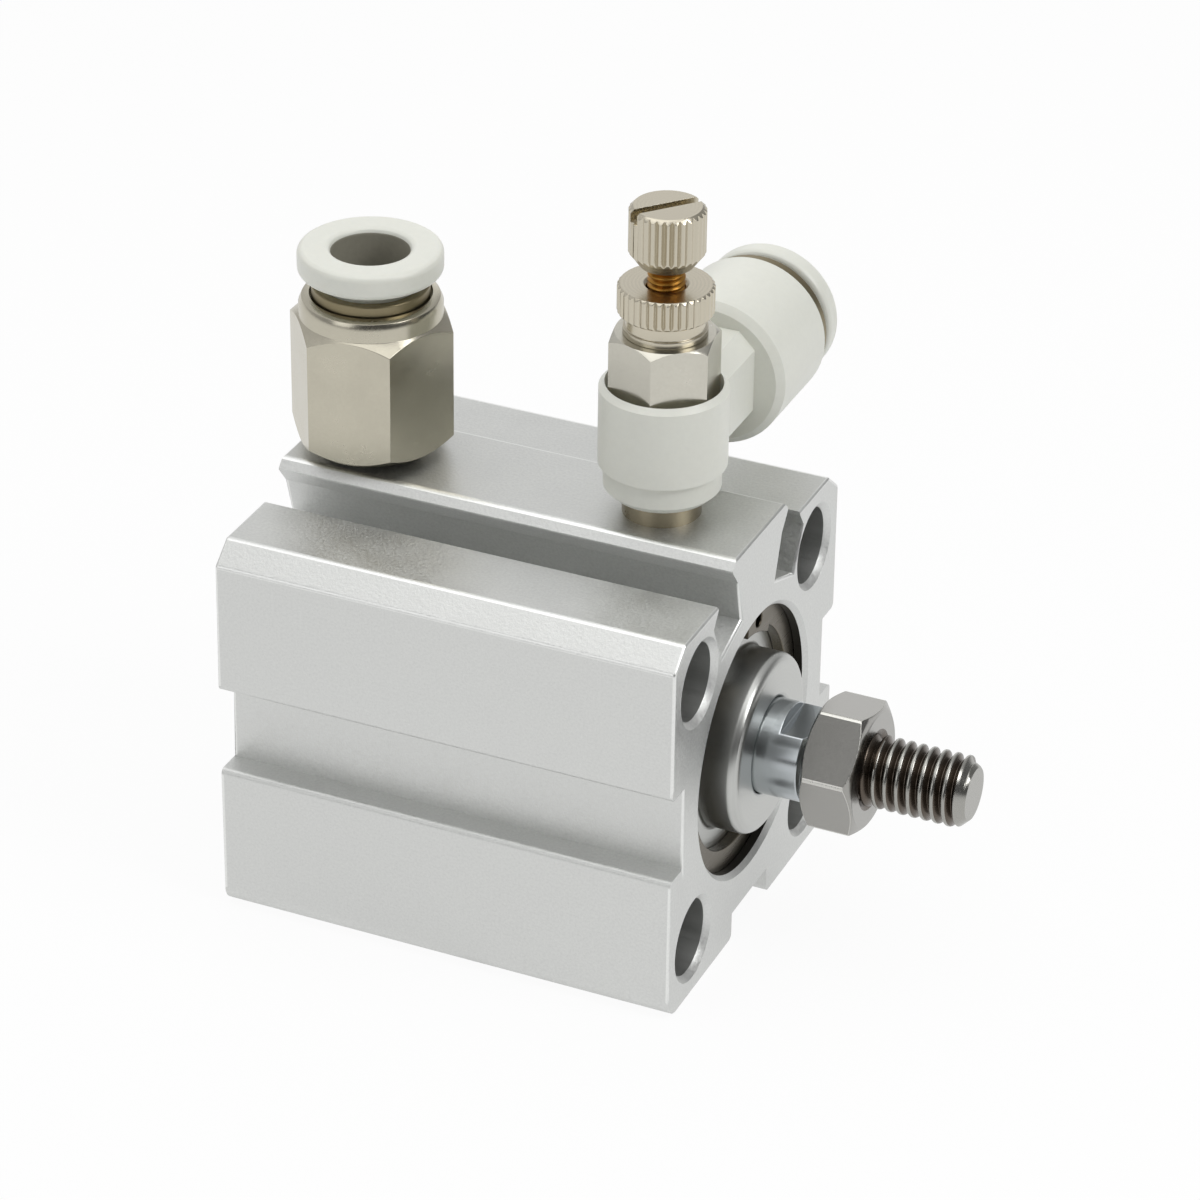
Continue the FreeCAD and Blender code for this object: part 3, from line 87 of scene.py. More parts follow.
# Numbers of the Mix node's sockets, several of which have the same name.
MIX_SHARE = 0
MIX_A, MIX_B, MIX_OUT = 2, 3, 0
TINT_A, TINT_B, TINT_OUT = 6, 7, 2

# Corners of one turn of a thread, as shares of its pitch and depth: crest, flank, root and flank.
THREAD_FORM = ((0.0, 0.0), (0.16, 0.0), (0.24, 0.10), (0.50, 0.90),
               (0.56, 1.0), (0.60, 1.0), (0.66, 0.90), (0.92, 0.10))


class Axis(Enum):
    """A turning axis, as the places of its along, across and up coordinates."""

    X = (0, 1, 2)
    Y = (1, 2, 0)
    Z = (2, 0, 1)


class Surface(Enum):
    """How a surface was made, which sets its fine pattern."""

    BLASTED = "blasted"
    TURNED = "turned"
    DRAWN = "drawn"
    MOULDED = "moulded"


def linear(code: str) -> Colour:
    """Turn an sRGB hex colour into a linear one, by the curve of that standard.

    Args:
        code: six hex digits after a hash sign.

    Returns:
        Linear red, green, blue and an alpha of one.
    """
    channels = [int(code[place:place + 2], 16) / 255 for place in (1, 3, 5)]
    bright = [c / 12.92 if c <= 0.04045 else ((c + 0.055) / 1.055) ** 2.4 for c in channels]
    return (*bright, 1.0)


def empty_tree(owner: bpy.types.Material | bpy.types.World) -> bpy.types.NodeTree:
    """Give a material or a world an empty node tree.

    Args:
        owner: the material or world.

    Returns:
        Its node tree.
    """
    owner.use_nodes = True
    owner.node_tree.nodes.clear()
    return owner.node_tree


def add_node(tree: bpy.types.NodeTree, kind: str, settings: dict[str | int, object] | None = None,
             links: dict[str | int, bpy.types.NodeSocket] | None = None) -> bpy.types.Node:
    """Add one shader node with its settings and links.

    Args:
        tree: node tree to add to.
        kind: Blender's name of the node type.
        settings: values by property name, socket name or socket number.
        links: output sockets by the name or number of the input that they feed.

    Returns:
        The new node.
    """
    node = tree.nodes.new(kind)
    for key, value in (settings or {}).items():
        if isinstance(key, str) and hasattr(node, key):
            setattr(node, key, value)
        else:
            node.inputs[key].default_value = value
    for key, socket in (links or {}).items():
        tree.links.new(socket, node.inputs[key])
    return node


@dataclass(frozen=True)
class Finish:
    """A real material with the surface that its making left.

    Attributes:
        name: material name, from the real material and process.
        colour: sRGB hex colour.
        surface: how the surface was made.
        metallic: one for bare metal.
        roughness: mean roughness.
        pattern_mm: size of one grain, width of a drawn line or pitch of turned rings.
        relief_mm: height of the pattern.
        mottling: share by which the colour wanders.
        cloud: share of the wander that comes in broad patches and not grain by grain.
        axis: turning or drawing axis of the marks.
        centre_mm: a point on that axis.
        ior: index of refraction, for what isn't metal.
        subsurface: share of light that enters a plastic.
    """

    name: str
    colour: str
    surface: Surface
    metallic: float
    roughness: float
    pattern_mm: float
    relief_mm: float
    mottling: float
    cloud: float = 0.3
    axis: Axis = Axis.X
    centre_mm: Triple = (0.0, 0.0, 0.0)
    ior: float | None = None
    subsurface: float = 0.0

    def shade(self, change: float) -> Colour:
        """Give the linear colour, lighter by a share of itself, or darker by a negative one."""
        *channels, alpha = linear(self.colour)
        return (*(min(1.0, channel * (1 + change)) for channel in channels), alpha)

    def marks(self, tree: bpy.types.NodeTree, place: bpy.types.NodeSocket) -> bpy.types.NodeSocket:
        """Draw the fine pattern of the surface.

        Args:
            tree: the material's node tree.
            place: socket with coordinates in metres.

        Returns:
            Socket with the pattern's height from zero to one.
        """
        per_metre = 1.0 / (self.pattern_mm * MM)
        if self.surface is Surface.TURNED:
            rings = {"wave_type": "RINGS", "rings_direction": self.axis.name, "wave_profile": "SIN",
                     "Scale": math.tau * per_metre / WAVE_RATE, "Distortion": 0.6,
                     "Detail": 2.0, "Detail Scale": 1.5}
            return add_node(tree, "ShaderNodeTexWave", rings, {"Vector": place}).outputs["Fac"]
        if self.surface is Surface.DRAWN:
            stretch = [per_metre] * 3
            stretch[self.axis.value[0]] = per_metre / DRAWN_STRETCH
            drawn = add_node(tree, "ShaderNodeMapping", {"Scale": stretch}, {"Vector": place})
            place = drawn.outputs["Vector"]
            grains = {"Scale": 1.0, "Detail": 3.0, "Roughness": 0.6}
        else:
            detail = 3.0 if self.surface is Surface.BLASTED else 1.0
            grains = {"Scale": per_metre, "Detail": detail, "Roughness": 0.65}
        return add_node(tree, "ShaderNodeTexNoise", grains, {"Vector": place}).outputs["Fac"]

    def material(self) -> bpy.types.Material:
        """Build the material once.

        Returns:
            The material with this finish's name.
        """
        known = bpy.data.materials.get(self.name)
        if known:
            return known
        made = bpy.data.materials.new(self.name)
        tree = empty_tree(made)
        origin = [-value * MM for value in self.centre_mm]
        coordinates = add_node(tree, "ShaderNodeTexCoord").outputs["Object"]
        place = add_node(tree, "ShaderNodeMapping", {"Location": origin},
                         {"Vector": coordinates}).outputs["Vector"]
        height = self.marks(tree, place)
        broad = {"Scale": 1.0 / (CLOUD_GRAINS * self.pattern_mm * MM), "Detail": 4.0}
        cloud = add_node(tree, "ShaderNodeTexNoise", broad, {"Vector": place}).outputs["Fac"]
        blend = add_node(tree, "ShaderNodeMix", {MIX_SHARE: self.cloud},
                         {MIX_A: height, MIX_B: cloud}).outputs[MIX_OUT]
        share = add_node(tree, "ShaderNodeMapRange", NOISE_SPAN, {"Value": blend}).outputs["Result"]
        shades = {TINT_A: self.shade(-self.mottling), TINT_B: self.shade(self.mottling)}
        tint = add_node(tree, "ShaderNodeMix", {"data_type": "RGBA"} | shades, {MIX_SHARE: share})
        wander = ROUGHNESS_WANDER * self.mottling
        gloss = {"To Min": self.roughness * (1 - wander), "To Max": self.roughness * (1 + wander)}
        rough = add_node(tree, "ShaderNodeMapRange", NOISE_SPAN | gloss, {"Value": blend})
        bump = add_node(tree, "ShaderNodeBump", {"Strength": 1.0, "Distance": self.relief_mm * MM},
                        {"Height": height})
        sockets = {"Metallic": self.metallic, "Subsurface Weight": self.subsurface}
        if self.ior is not None:
            sockets["IOR"] = self.ior
        if self.subsurface:
            sockets["Subsurface Radius"] = PLASTIC_SPREAD
            sockets["Subsurface Scale"] = PLASTIC_DEPTH_MM * MM
        feeds = {"Base Color": tint.outputs[TINT_OUT], "Roughness": rough.outputs["Result"],
                 "Normal": bump.outputs["Normal"]}
        shader = add_node(tree, "ShaderNodeBsdfPrincipled", sockets, feeds)
        add_node(tree, "ShaderNodeOutputMaterial", None, {"Surface": shader.outputs["BSDF"]})
        return made


# The middle of the front port, which the speed controller turns round.
FRONT_PORT_MM: Triple = (-8.6, 0.0, 0.0)

# Clear anodised aluminium, bead blasted: a silvery matt skin with a fine sparkle.
# The grit is drawn coarse enough to show.
ANODISED = Finish(
    "anodised_aluminium_bead_blasted", "#DADBD9", Surface.BLASTED, metallic=1.0, roughness=0.48,
    pattern_mm=0.25, relief_mm=0.022, mottling=0.12, cloud=0.25)
# The same skin on broken edges: the tumbled edge is smoother, and its lighter colour is a painted
# highlight that draws a bright line.
ANODISED_EDGE_HIGHLIGHT = Finish(
    "anodised_aluminium_edge_painted_highlight", "#E9EAE8", Surface.BLASTED, metallic=1.0, roughness=0.36,
    pattern_mm=0.20, relief_mm=0.006, mottling=0.08)
# Aluminium in the drilled bolt holes, with the drill's dull lines; its grey, darker than the
# barrel, is painted shade inside the holes.
DRILLED_PAINTED_SHADE = Finish(
    "aluminium_drilled_painted_shade", "#BCBDBB", Surface.DRAWN, metallic=1.0, roughness=0.50,
    pattern_mm=0.20, relief_mm=0.003, mottling=0.06)
# Honed aluminium inside the cylinder bore, in a dark colour that is painted shade deep in the bore.
BORE_PAINTED_SHADE = Finish(
    "aluminium_honed_painted_shade", "#4C4B48", Surface.DRAWN, metallic=1.0, roughness=0.34,
    pattern_mm=0.12, relief_mm=0.002, mottling=0.08)
# Turned aluminium: fine rings, drawn coarse enough to show, that spread a highlight into a fan.
TURNED = Finish(
    "aluminium_fine_turned", "#C2C3C0", Surface.TURNED, metallic=1.0, roughness=0.34,
    pattern_mm=0.35, relief_mm=0.0003, mottling=0.02)
# Hard chromed steel, ground: a dark, slightly blue mirror with the faintest lines along it.
CHROME = Finish(
    "steel_ground_hard_chromed", "#B8BDC0", Surface.DRAWN, metallic=1.0, roughness=0.20,
    pattern_mm=0.10, relief_mm=0.0004, mottling=0.02)
# Zinc plated steel, cold formed: neutral grey with a soft gloss.
ZINC = Finish(
    "steel_zinc_plated", "#A1A09C", Surface.BLASTED, metallic=1.0, roughness=0.24,
    pattern_mm=0.20, relief_mm=0.0012, mottling=0.04)
# The same plating on the nut's tumbled edges, lighter in colour: a painted highlight along each
# edge.
ZINC_EDGE_HIGHLIGHT = Finish(
    "steel_zinc_plated_painted_highlight", "#CFCEC9", Surface.BLASTED, metallic=1.0, roughness=0.28,
    pattern_mm=0.20, relief_mm=0.0012, mottling=0.04)
# The rolled thread's crests: plating burnished by the nut, which draws a bright line on every turn.
CREST = Finish(
    "steel_thread_crest_burnished", "#A3A29D", Surface.DRAWN, metallic=1.0, roughness=0.26,
    pattern_mm=0.15, relief_mm=0.0012, mottling=0.04)
# The rolled thread's flanks and roots, the turns beside the nut and the nut's mouth: the same
# plating painted dark, as painted shade, so valleys stay dark.
ROLLED_PAINTED_SHADE = Finish(
    "steel_thread_rolled_painted_shade", "#5E564E", Surface.DRAWN, metallic=1.0, roughness=0.28,
    pattern_mm=0.15, relief_mm=0.0012, mottling=0.06)
# Spring steel, stamped: beige grey, with drawn lines from the strip.
SPRING = Finish(
    "spring_steel_stamped", "#625C50", Surface.DRAWN, metallic=1.0, roughness=0.30,
    pattern_mm=0.15, relief_mm=0.002, mottling=0.06, axis=Axis.Y)
# Brass with nickel plating, tumbled: champagne grey with a silky gloss and soft stains.
NICKEL = Finish(
    "brass_nickel_plated", "#C0BBAB", Surface.BLASTED, metallic=1.0, roughness=0.24,
    pattern_mm=0.25, relief_mm=0.0025, mottling=0.08, cloud=0.7)
# The same plating on the stem's foot below the elbow, painted brownish, with a duller gloss:
# painted shade under the elbow.
NICKEL_PAINTED_SHADE = Finish(
    "brass_nickel_plated_painted_shade", "#968D79", Surface.BLASTED, metallic=1.0, roughness=0.32,
    pattern_mm=0.25, relief_mm=0.0025, mottling=0.10, cloud=0.6)
# The same plating on the rings that a collar rubs on, unpolished: beige with a soft sheen.
NICKEL_SATIN = Finish(
    "brass_nickel_plated_satin", "#8C8268", Surface.BLASTED, metallic=1.0, roughness=0.38,
    pattern_mm=0.25, relief_mm=0.004, mottling=0.06)
# The same plating on the stem, fresher: more silver, less champagne.
NICKEL_FRESH = Finish(
    "brass_nickel_plated_fresh", "#C8C5BA", Surface.BLASTED, metallic=1.0, roughness=0.24,
    pattern_mm=0.25, relief_mm=0.0025, mottling=0.07, cloud=0.6)
# The same plating over turned brass: faint rings round the stem, drawn coarse enough to show.
NICKEL_TURNED = Finish(
    "brass_turned_nickel_plated", "#C6BFAE", Surface.TURNED, metallic=1.0, roughness=0.24,
    pattern_mm=0.30, relief_mm=0.0002, mottling=0.03, axis=Axis.Z, centre_mm=FRONT_PORT_MM)
# Bare brass, thread cut: dull yellow brown.
BRASS = Finish(
    "brass_thread_cut", "#B0813C", Surface.DRAWN, metallic=1.0, roughness=0.32,
    pattern_mm=0.12, relief_mm=0.003, mottling=0.08, axis=Axis.Z)
# Filled polyester, moulded: greenish off-white with a satin skin that lets a little light in.
POLYESTER = Finish(
    "polyester_moulded", "#E4E5DC", Surface.MOULDED, metallic=0.0, roughness=0.38,
    pattern_mm=0.60, relief_mm=0.004, mottling=0.015, ior=1.55, subsurface=0.12)
# The same plastic inside a tube socket, painted grey: painted shade down the socket.
SOCKET_PAINTED_SHADE = Finish(
    "polyester_moulded_painted_shade", "#9A978A", Surface.MOULDED, metallic=0.0, roughness=0.34,
    pattern_mm=0.40, relief_mm=0.004, mottling=0.05, ior=1.55)
# Nitrile rubber, moulded: matt black with a faint bloom.
RUBBER = Finish(
    "nitrile_rubber_moulded", "#1C1C1D", Surface.MOULDED, metallic=0.0, roughness=0.62,
    pattern_mm=0.30, relief_mm=0.004, mottling=0.12, ior=1.52)
# Sintered bronze: brown with open pores.
BRONZE = Finish(
    "bronze_sintered", "#8A6A45", Surface.BLASTED, metallic=1.0, roughness=0.45,
    pattern_mm=0.12, relief_mm=0.006, mottling=0.15)
# Filled bearing plastic, moulded: dark brown and matt.
BEARING = Finish(
    "bearing_plastic_moulded", "#4A4038", Surface.MOULDED, metallic=0.0, roughness=0.5,
    pattern_mm=0.30, relief_mm=0.004, mottling=0.08, ior=1.5)


@dataclass(frozen=True)
class Zone:
    """A part of a piece's skin with a finish of its own: the faces with all corners in it.

    Attributes:
        finish: finish of the zone.
        holds: says whether a spot, in millimetres, lies in the zone.
    """

    finish: Finish
    holds: Callable[[Vector], bool]


@dataclass(frozen=True)
class Skin:
    """What a piece wears: its finishes, and how far its edges are broken.

    Attributes:
        finish: finish of the faces.
        edge_mm: width of a broken edge.
        edge_finish: finish of the broken edges, if it differs; a lighter one is a painted
            highlight.
        zones: parts of the skin with finishes of their own.
        round_mm: width of the rounding on long edges, or zero for none.
    """

    finish: Finish
    edge_mm: float
    edge_finish: Finish | None = None
    zones: tuple[Zone, ...] = ()
    round_mm: float = 0.0

    def finishes(self) -> list[Finish]:
        """List the finishes in the order of the material slots."""
        return [self.finish, self.edge_finish or self.finish, *(zone.finish for zone in self.zones)]

    def slot_at(self, corners_mm: list[Vector]) -> int:
        """Find the material slot of a face from its corners: the first zone that holds them all."""
        zones = enumerate(self.zones, ZONE_SLOT)
        return next((slot for slot, zone in zones if all(map(zone.holds, corners_mm))), FACE_SLOT)

    def bevel_slot(self) -> int:
        """Give the material slot of a broken edge."""
        return EDGE_SLOT if self.edge_finish else SAME_SLOT


def paint(piece: bpy.types.Object, *finishes: Finish) -> None:
    """Give a piece its finishes.

    Args:
        piece: the piece.
        finishes: one finish for each material slot.
    """
    if piece.data.materials:
        piece.data.materials.clear()
    for finish in finishes:
        piece.data.materials.append(finish.material())


def settle(piece: bpy.types.Object, body: str, node: str) -> None:
    """Seat a piece on its body in place of its solid.

    Args:
        piece: the dressed piece.
        body: body that it rides on.
        node: solid that it stands for.
    """
    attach(piece, body)
    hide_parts(node)
    LOG.info("%s rides on %s in place of %s", piece.name, body, node)


def as_object(name: str, shape: bmesh.types.BMesh, smooth_deg: float = 30.0) -> bpy.types.Object:
    """Turn a shape into an object in the scene, smooth across its gentle edges.

    Args:
        name: object name.
        shape: the mesh, which is freed here.
        smooth_deg: edges sharper than this stay sharp.

    Returns:
        The new object.
    """
    mesh = bpy.data.meshes.new(name)
    shape.to_mesh(mesh)
    shape.free()
    mesh.shade_smooth()
    mesh.set_sharp_from_angle(angle=math.radians(smooth_deg))
    piece = bpy.data.objects.new(name, mesh)
    bpy.context.scene.collection.objects.link(piece)
    return piece


def mean_width(face: bmesh.types.BMFace) -> float:
    """Give a face's area over its longest side."""
    return face.calc_area() / max(side.calc_length() for side in face.edges)


@dataclass
class Dresser:
    """Copies a solid and breaks its edges, as tumbling, moulding or a deburring tool does.

    Attributes:
        nodes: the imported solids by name.
        smooth_deg: edges sharper than this are broken.
        segments: faces across a broken edge.
        long_mm: straight edges longer than this can have a rounding of their own.
    """

    nodes: dict[str, bpy.types.Object]
    smooth_deg: float = 32.0
    segments: int = 3
    long_mm: float = 2.5

    def mark_long(self, shape: bmesh.types.BMesh, round_mm: float) -> None:
        """Mark the long outer edges between faces that have room for a rounding at both sides.

        Args:
            shape: the mesh to mark.
            round_mm: width of the rounding.
        """
        weight = shape.edges.layers.float.new("bevel_weight_edge")
        for edge in shape.edges:
            if not edge.is_manifold or not edge.is_convex:
                continue
            wide = min(map(mean_width, edge.link_faces)) > 2 * round_mm * MM
            sharp = math.degrees(edge.calc_face_angle()) > self.smooth_deg
            edge[weight] = float(sharp and wide and edge.calc_length() > self.long_mm * MM)

    def break_edges(self, piece: bpy.types.Object, name: str, width_mm: float,
                    slot: int) -> bpy.types.Modifier:
        """Add a bevel to the piece's sharp edges.

        Args:
            piece: the piece.
            name: the modifier's name.
            width_mm: width of the bevel.
            slot: material slot of the bevel.

        Returns:
            The bevel.
        """
        bevel = piece.modifiers.new(name, "BEVEL")
        bevel.width = width_mm * MM
        bevel.segments = self.segments
        bevel.limit_method = "ANGLE"
        bevel.angle_limit = math.radians(self.smooth_deg)
        bevel.material = slot
        return bevel

    def copy(self, node: str, skin: Skin) -> bpy.types.Object:
        """Copy a solid with broken edges.

        Args:
            node: name of the solid.
            skin: what the copy wears.

        Returns:
            The dressed copy.
        """
        shape = bmesh.new()
        shape.from_mesh(self.nodes[node].data)
        bmesh.ops.remove_doubles(shape, verts=shape.verts, dist=WELD_MM * MM)
        bmesh.ops.dissolve_limit(shape, angle_limit=math.radians(FLAT_DEG),
                                 verts=shape.verts, edges=shape.edges)
        for face in shape.faces:
            face.material_index = skin.slot_at([corner.co / MM for corner in face.verts])
        if skin.round_mm:
            self.mark_long(shape, skin.round_mm)
        piece = as_object(f"{node}_dressed", shape, self.smooth_deg)
        paint(piece, *skin.finishes())
        slot = skin.bevel_slot()
        if skin.round_mm:
            rounding = self.break_edges(piece, "rounded_long_edges", skin.round_mm, slot)
            rounding.limit_method = "WEIGHT"
            rounding.use_clamp_overlap = False
        self.break_edges(piece, "broken_edges", skin.edge_mm, slot)
        flats = piece.modifiers.new("flat_faces", "WEIGHTED_NORMAL")
        flats.keep_sharp = True
        return piece

    def replace(self, node: str, body: str, slot: str, skin: Skin) -> None:
        """Copy a solid, break the copy's edges and seat it on its body in the solid's place."""
        settle(self.copy(node, skin), body, node)


@dataclass
class CutThread:
    """A thread cut along an axis, as one helical skin with closed ends.

    Attributes:
        name: object name.
        axis: axis of the thread.
        centre_mm: a point on that axis.
        radius_mm: crest radius.
        pitch_mm: distance between crests.
        start_mm: first end along the axis.
        end_mm: last end along the axis.
        chamfer_mm: chamfer at the last end.
        sides: steps in one turn.
        crest_mm: depth to which the crest's finish reaches, with the second finish below it, which
            on the stud is painted shade.
        bright_from_mm: place along the axis from which the crests shine, with the second finish,
            painted shade on the stud, before it.
        depth_share: depth of the thread over its pitch.
        smooth_deg: edges sharper than this stay sharp.
    """

    name: str
    axis: Axis
    centre_mm: Triple
    radius_mm: float
    pitch_mm: float
    start_mm: float
    end_mm: float
    chamfer_mm: float
    sides: int = 64
    crest_mm: float = 0.2
    bright_from_mm: float = -math.inf
    depth_share: float = 0.58
    smooth_deg: float = 40.0

    def profile(self) -> list[tuple[float, float]]:
        """List the (share of the pitch, depth in mm) corners of one turn."""
        depth = self.depth_share * self.pitch_mm
        return [(share, fall * depth) for share, fall in THREAD_FORM]

    def radius_at(self, along: float, depth: float) -> float:
        """Keep a point of the thread inside the end's chamfer."""
        limit = self.radius_mm - max(0.0, along - (self.end_mm - self.chamfer_mm))
        return min(self.radius_mm - depth, limit)

    def along_at(self, share: float, lead: float) -> float:
        """Place a corner of the profile along the axis, within both ends."""
        along = self.start_mm + (share + lead - 1.0) * self.pitch_mm
        return min(max(along, self.start_mm), self.end_mm)

    def shines(self, along: float, depth: float) -> bool:
        """Tell whether the thread takes its first finish, on its crests outside the nut and on its
        tip, and not the second, which on the stud is painted shade.
        """
        on_tip = along > self.end_mm - self.chamfer_mm
        return on_tip or (depth <= self.crest_mm and along > self.bright_from_mm)

    def spot(self, along: float, radius: float, angle: float) -> Vector:
        """Place a point of the thread.

        Args:
            along: place along the axis in millimetres.
            radius: distance from the axis in millimetres.
            angle: angle round the axis in radians.

        Returns:
            The point in metres.
        """
        first, second, third = self.axis.value
        place = list(self.centre_mm)
        place[first] = along
        place[second] += radius * math.cos(angle)
        place[third] += radius * math.sin(angle)
        return Vector(place) * MM

    def build(self) -> bpy.types.Object:
        """Build the thread, with a turn to spare at both ends that is pressed flat there.

        Returns:
            The threaded piece.
        """
        shape = bmesh.new()
        turns = range(-1, math.ceil((self.end_mm - self.start_mm) / self.pitch_mm) + 2)
        corners = [(turn + share, depth) for turn in turns for share, depth in self.profile()]
        columns: list[list[bmesh.types.BMVert]] = []
        for side in range(self.sides + 1):
            lead = side / self.sides
            column = []
            for share, depth in corners:
                along = self.along_at(share, lead)
                spot = self.spot(along, self.radius_at(along, depth), math.tau * lead)
                column.append(shape.verts.new(spot))
            columns.append(column)
        for side, (near, far) in enumerate(zip(columns, columns[1:])):
            for low, (lower, upper) in enumerate(zip(corners, corners[1:])):
                strip = shape.faces.new((near[low], near[low + 1], far[low + 1], far[low]))
                along = self.along_at(lower[0], side / self.sides)
                # Slot one takes the valleys and the turns before bright_from_mm: painted shade on
                # the stud.
                strip.material_index = int(not self.shines(along, max(lower[1], upper[1])))
        for end, along in ((0, self.start_mm), (-1, self.end_mm)):
            hub = shape.verts.new(self.spot(along, 0.0, 0.0))
            for near, far in zip(columns, columns[1:]):
                shape.faces.new((near[end], far[end], hub))
        bmesh.ops.remove_doubles(shape, verts=shape.verts, dist=WELD_MM * MM)
        bmesh.ops.recalc_face_normals(shape, faces=shape.faces)
        return as_object(self.name, shape, self.smooth_deg)


@dataclass
class Assembly(ABC):
    """A group of pieces that are fitted together.

    Attributes:
        dresser: copies the group's solids and breaks their edges.
    """

    dresser: Dresser

    @abstractmethod
    def build(self) -> None:
        """Dress the group's pieces."""


@dataclass
class Barrel(Assembly):
    """The extruded barrel with its covers and spring rings.

    Attributes:
        saw_edge_mm: broken edge of the barrel.
        long_edge_mm: rounding along the extruded section.
        cover_edge_mm: broken edge of the covers.
        ring_edge_mm: broken edge of the spring rings.
        mouth_mm: depth of the chamfer at the bore's mouths.
        bore_reach_mm: distance from the axis that only the bore's walls lie within.
        bolt_inset_mm: distance of a bolt hole's middle from the barrel's sides.
        bolt_reach_mm: distance from that middle that only the hole's walls lie within.
        ends_mm: places of the two end faces along the axis.
        bolt_mm: distance of a bolt hole's middle from the axis, across and up.
    """

    saw_edge_mm: float = 0.2
    long_edge_mm: float = 0.22
    cover_edge_mm: float = 0.35
    ring_edge_mm: float = 0.10
    mouth_mm: float = 0.3
    bore_reach_mm: float = 12.4
    bolt_inset_mm: float = 5.0
    bolt_reach_mm: float = 3.4
    ends_mm: tuple[float, float] = field(init=False)
    bolt_mm: float = field(init=False)

    def __post_init__(self) -> None:
        """Measure where the barrel's two end faces and its bolt holes lie."""
        low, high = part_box("barrel")
        self.ends_mm = (low.x / MM, high.x / MM)
        self.bolt_mm = high.y / MM - self.bolt_inset_mm

    def in_bolt_hole(self, spot: Vector) -> bool:
        """Tell whether a spot lies in one of the four bolt holes, below its chamfer."""
        across, up = abs(spot.y) - self.bolt_mm, abs(spot.z) - self.bolt_mm
        return math.hypot(across, up) < self.bolt_reach_mm

    def in_bore(self, spot: Vector) -> bool:
        """Tell whether a spot lies in the cylinder bore, below the chamfers of its mouths."""
        below = self.ends_mm[0] + self.mouth_mm < spot.x < self.ends_mm[1] - self.mouth_mm
        return below and math.hypot(spot.y, spot.z) < self.bore_reach_mm

    def build(self) -> None:
        """Dress the barrel, both covers and both rings."""
        # The bore and the bolt holes take painted shade.
        zones = (Zone(BORE_PAINTED_SHADE, self.in_bore), Zone(DRILLED_PAINTED_SHADE, self.in_bolt_hole))
        # The barrel's broken edges take a painted highlight.
        extruded = Skin(ANODISED, self.saw_edge_mm, ANODISED_EDGE_HIGHLIGHT, zones, self.long_edge_mm)
        turned = Skin(TURNED, self.cover_edge_mm)
        stamped = Skin(SPRING, self.ring_edge_mm)
        self.dresser.replace("barrel", "cylinder", "anodised_aluminium", extruded)
        for end in ("front", "rear"):
            self.dresser.replace(f"{end}_cover", "cylinder", "turned_aluminium", turned)
            self.dresser.replace(f"{end}_retaining_ring", "cylinder", "spring_steel", stamped)


@dataclass
class RodEnd(Assembly):
    """The rod, its threaded end and the lock nut.

    Attributes:
        thread_pitch_mm: pitch of the stud's thread.
        thread_chamfer_mm: chamfer at the stud's tip.
        rod_edge_mm: broken edge of the rod.
        nut_edge_mm: broken edge of the nut.
        nut_corner_mm: rounding along the nut's corners.
        nut_mouth_mm: radius that only the nut's thread and mouth lie within.
        painted_shade_mm: length of the stud beside the nut whose crests stay dark, as painted
            shade.
    """

    thread_pitch_mm: float = 1.0
    thread_chamfer_mm: float = 0.8
    rod_edge_mm: float = 0.08
    nut_edge_mm: float = 0.12
    nut_corner_mm: float = 0.22
    nut_mouth_mm: float = 3.5
    painted_shade_mm: float = 0.8

    def in_nut_thread(self, spot: Vector) -> bool:
        """Tell whether a spot lies in the nut's thread or its countersunk mouth."""
        return math.hypot(spot.y, spot.z) < self.nut_mouth_mm

    def build(self) -> None:
        """Dress the rod and nut and cut the stud's thread."""
        ground = Skin(CHROME, self.rod_edge_mm)
        # The nut's thread and countersunk mouth take painted shade.
        zones = (Zone(ROLLED_PAINTED_SHADE, self.in_nut_thread),)
        # The nut's broken edges take a painted highlight.
        plated = Skin(ZINC, self.nut_edge_mm, ZINC_EDGE_HIGHLIGHT, zones, self.nut_corner_mm)
        self.dresser.replace("piston_rod", "rod", "chromed_steel", ground)
        self.dresser.replace("rod_nut", "nut", "plated_steel", plated)
        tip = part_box("rod_end_stud")[1]
        thread = CutThread(
            "rod_end_stud_thread", Axis.X, (0.0, 0.0, 0.0), radius_mm=tip.z / MM,
            pitch_mm=self.thread_pitch_mm, start_mm=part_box("piston_rod")[1].x / MM,
            end_mm=tip.x / MM, chamfer_mm=self.thread_chamfer_mm,
            bright_from_mm=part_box("rod_nut")[1].x / MM + self.painted_shade_mm)
        stud = thread.build()
        # The stud's flanks, roots and the turns beside the nut take painted shade.
        paint(stud, CREST, ROLLED_PAINTED_SHADE)
        settle(stud, "rod", "rod_end_stud")


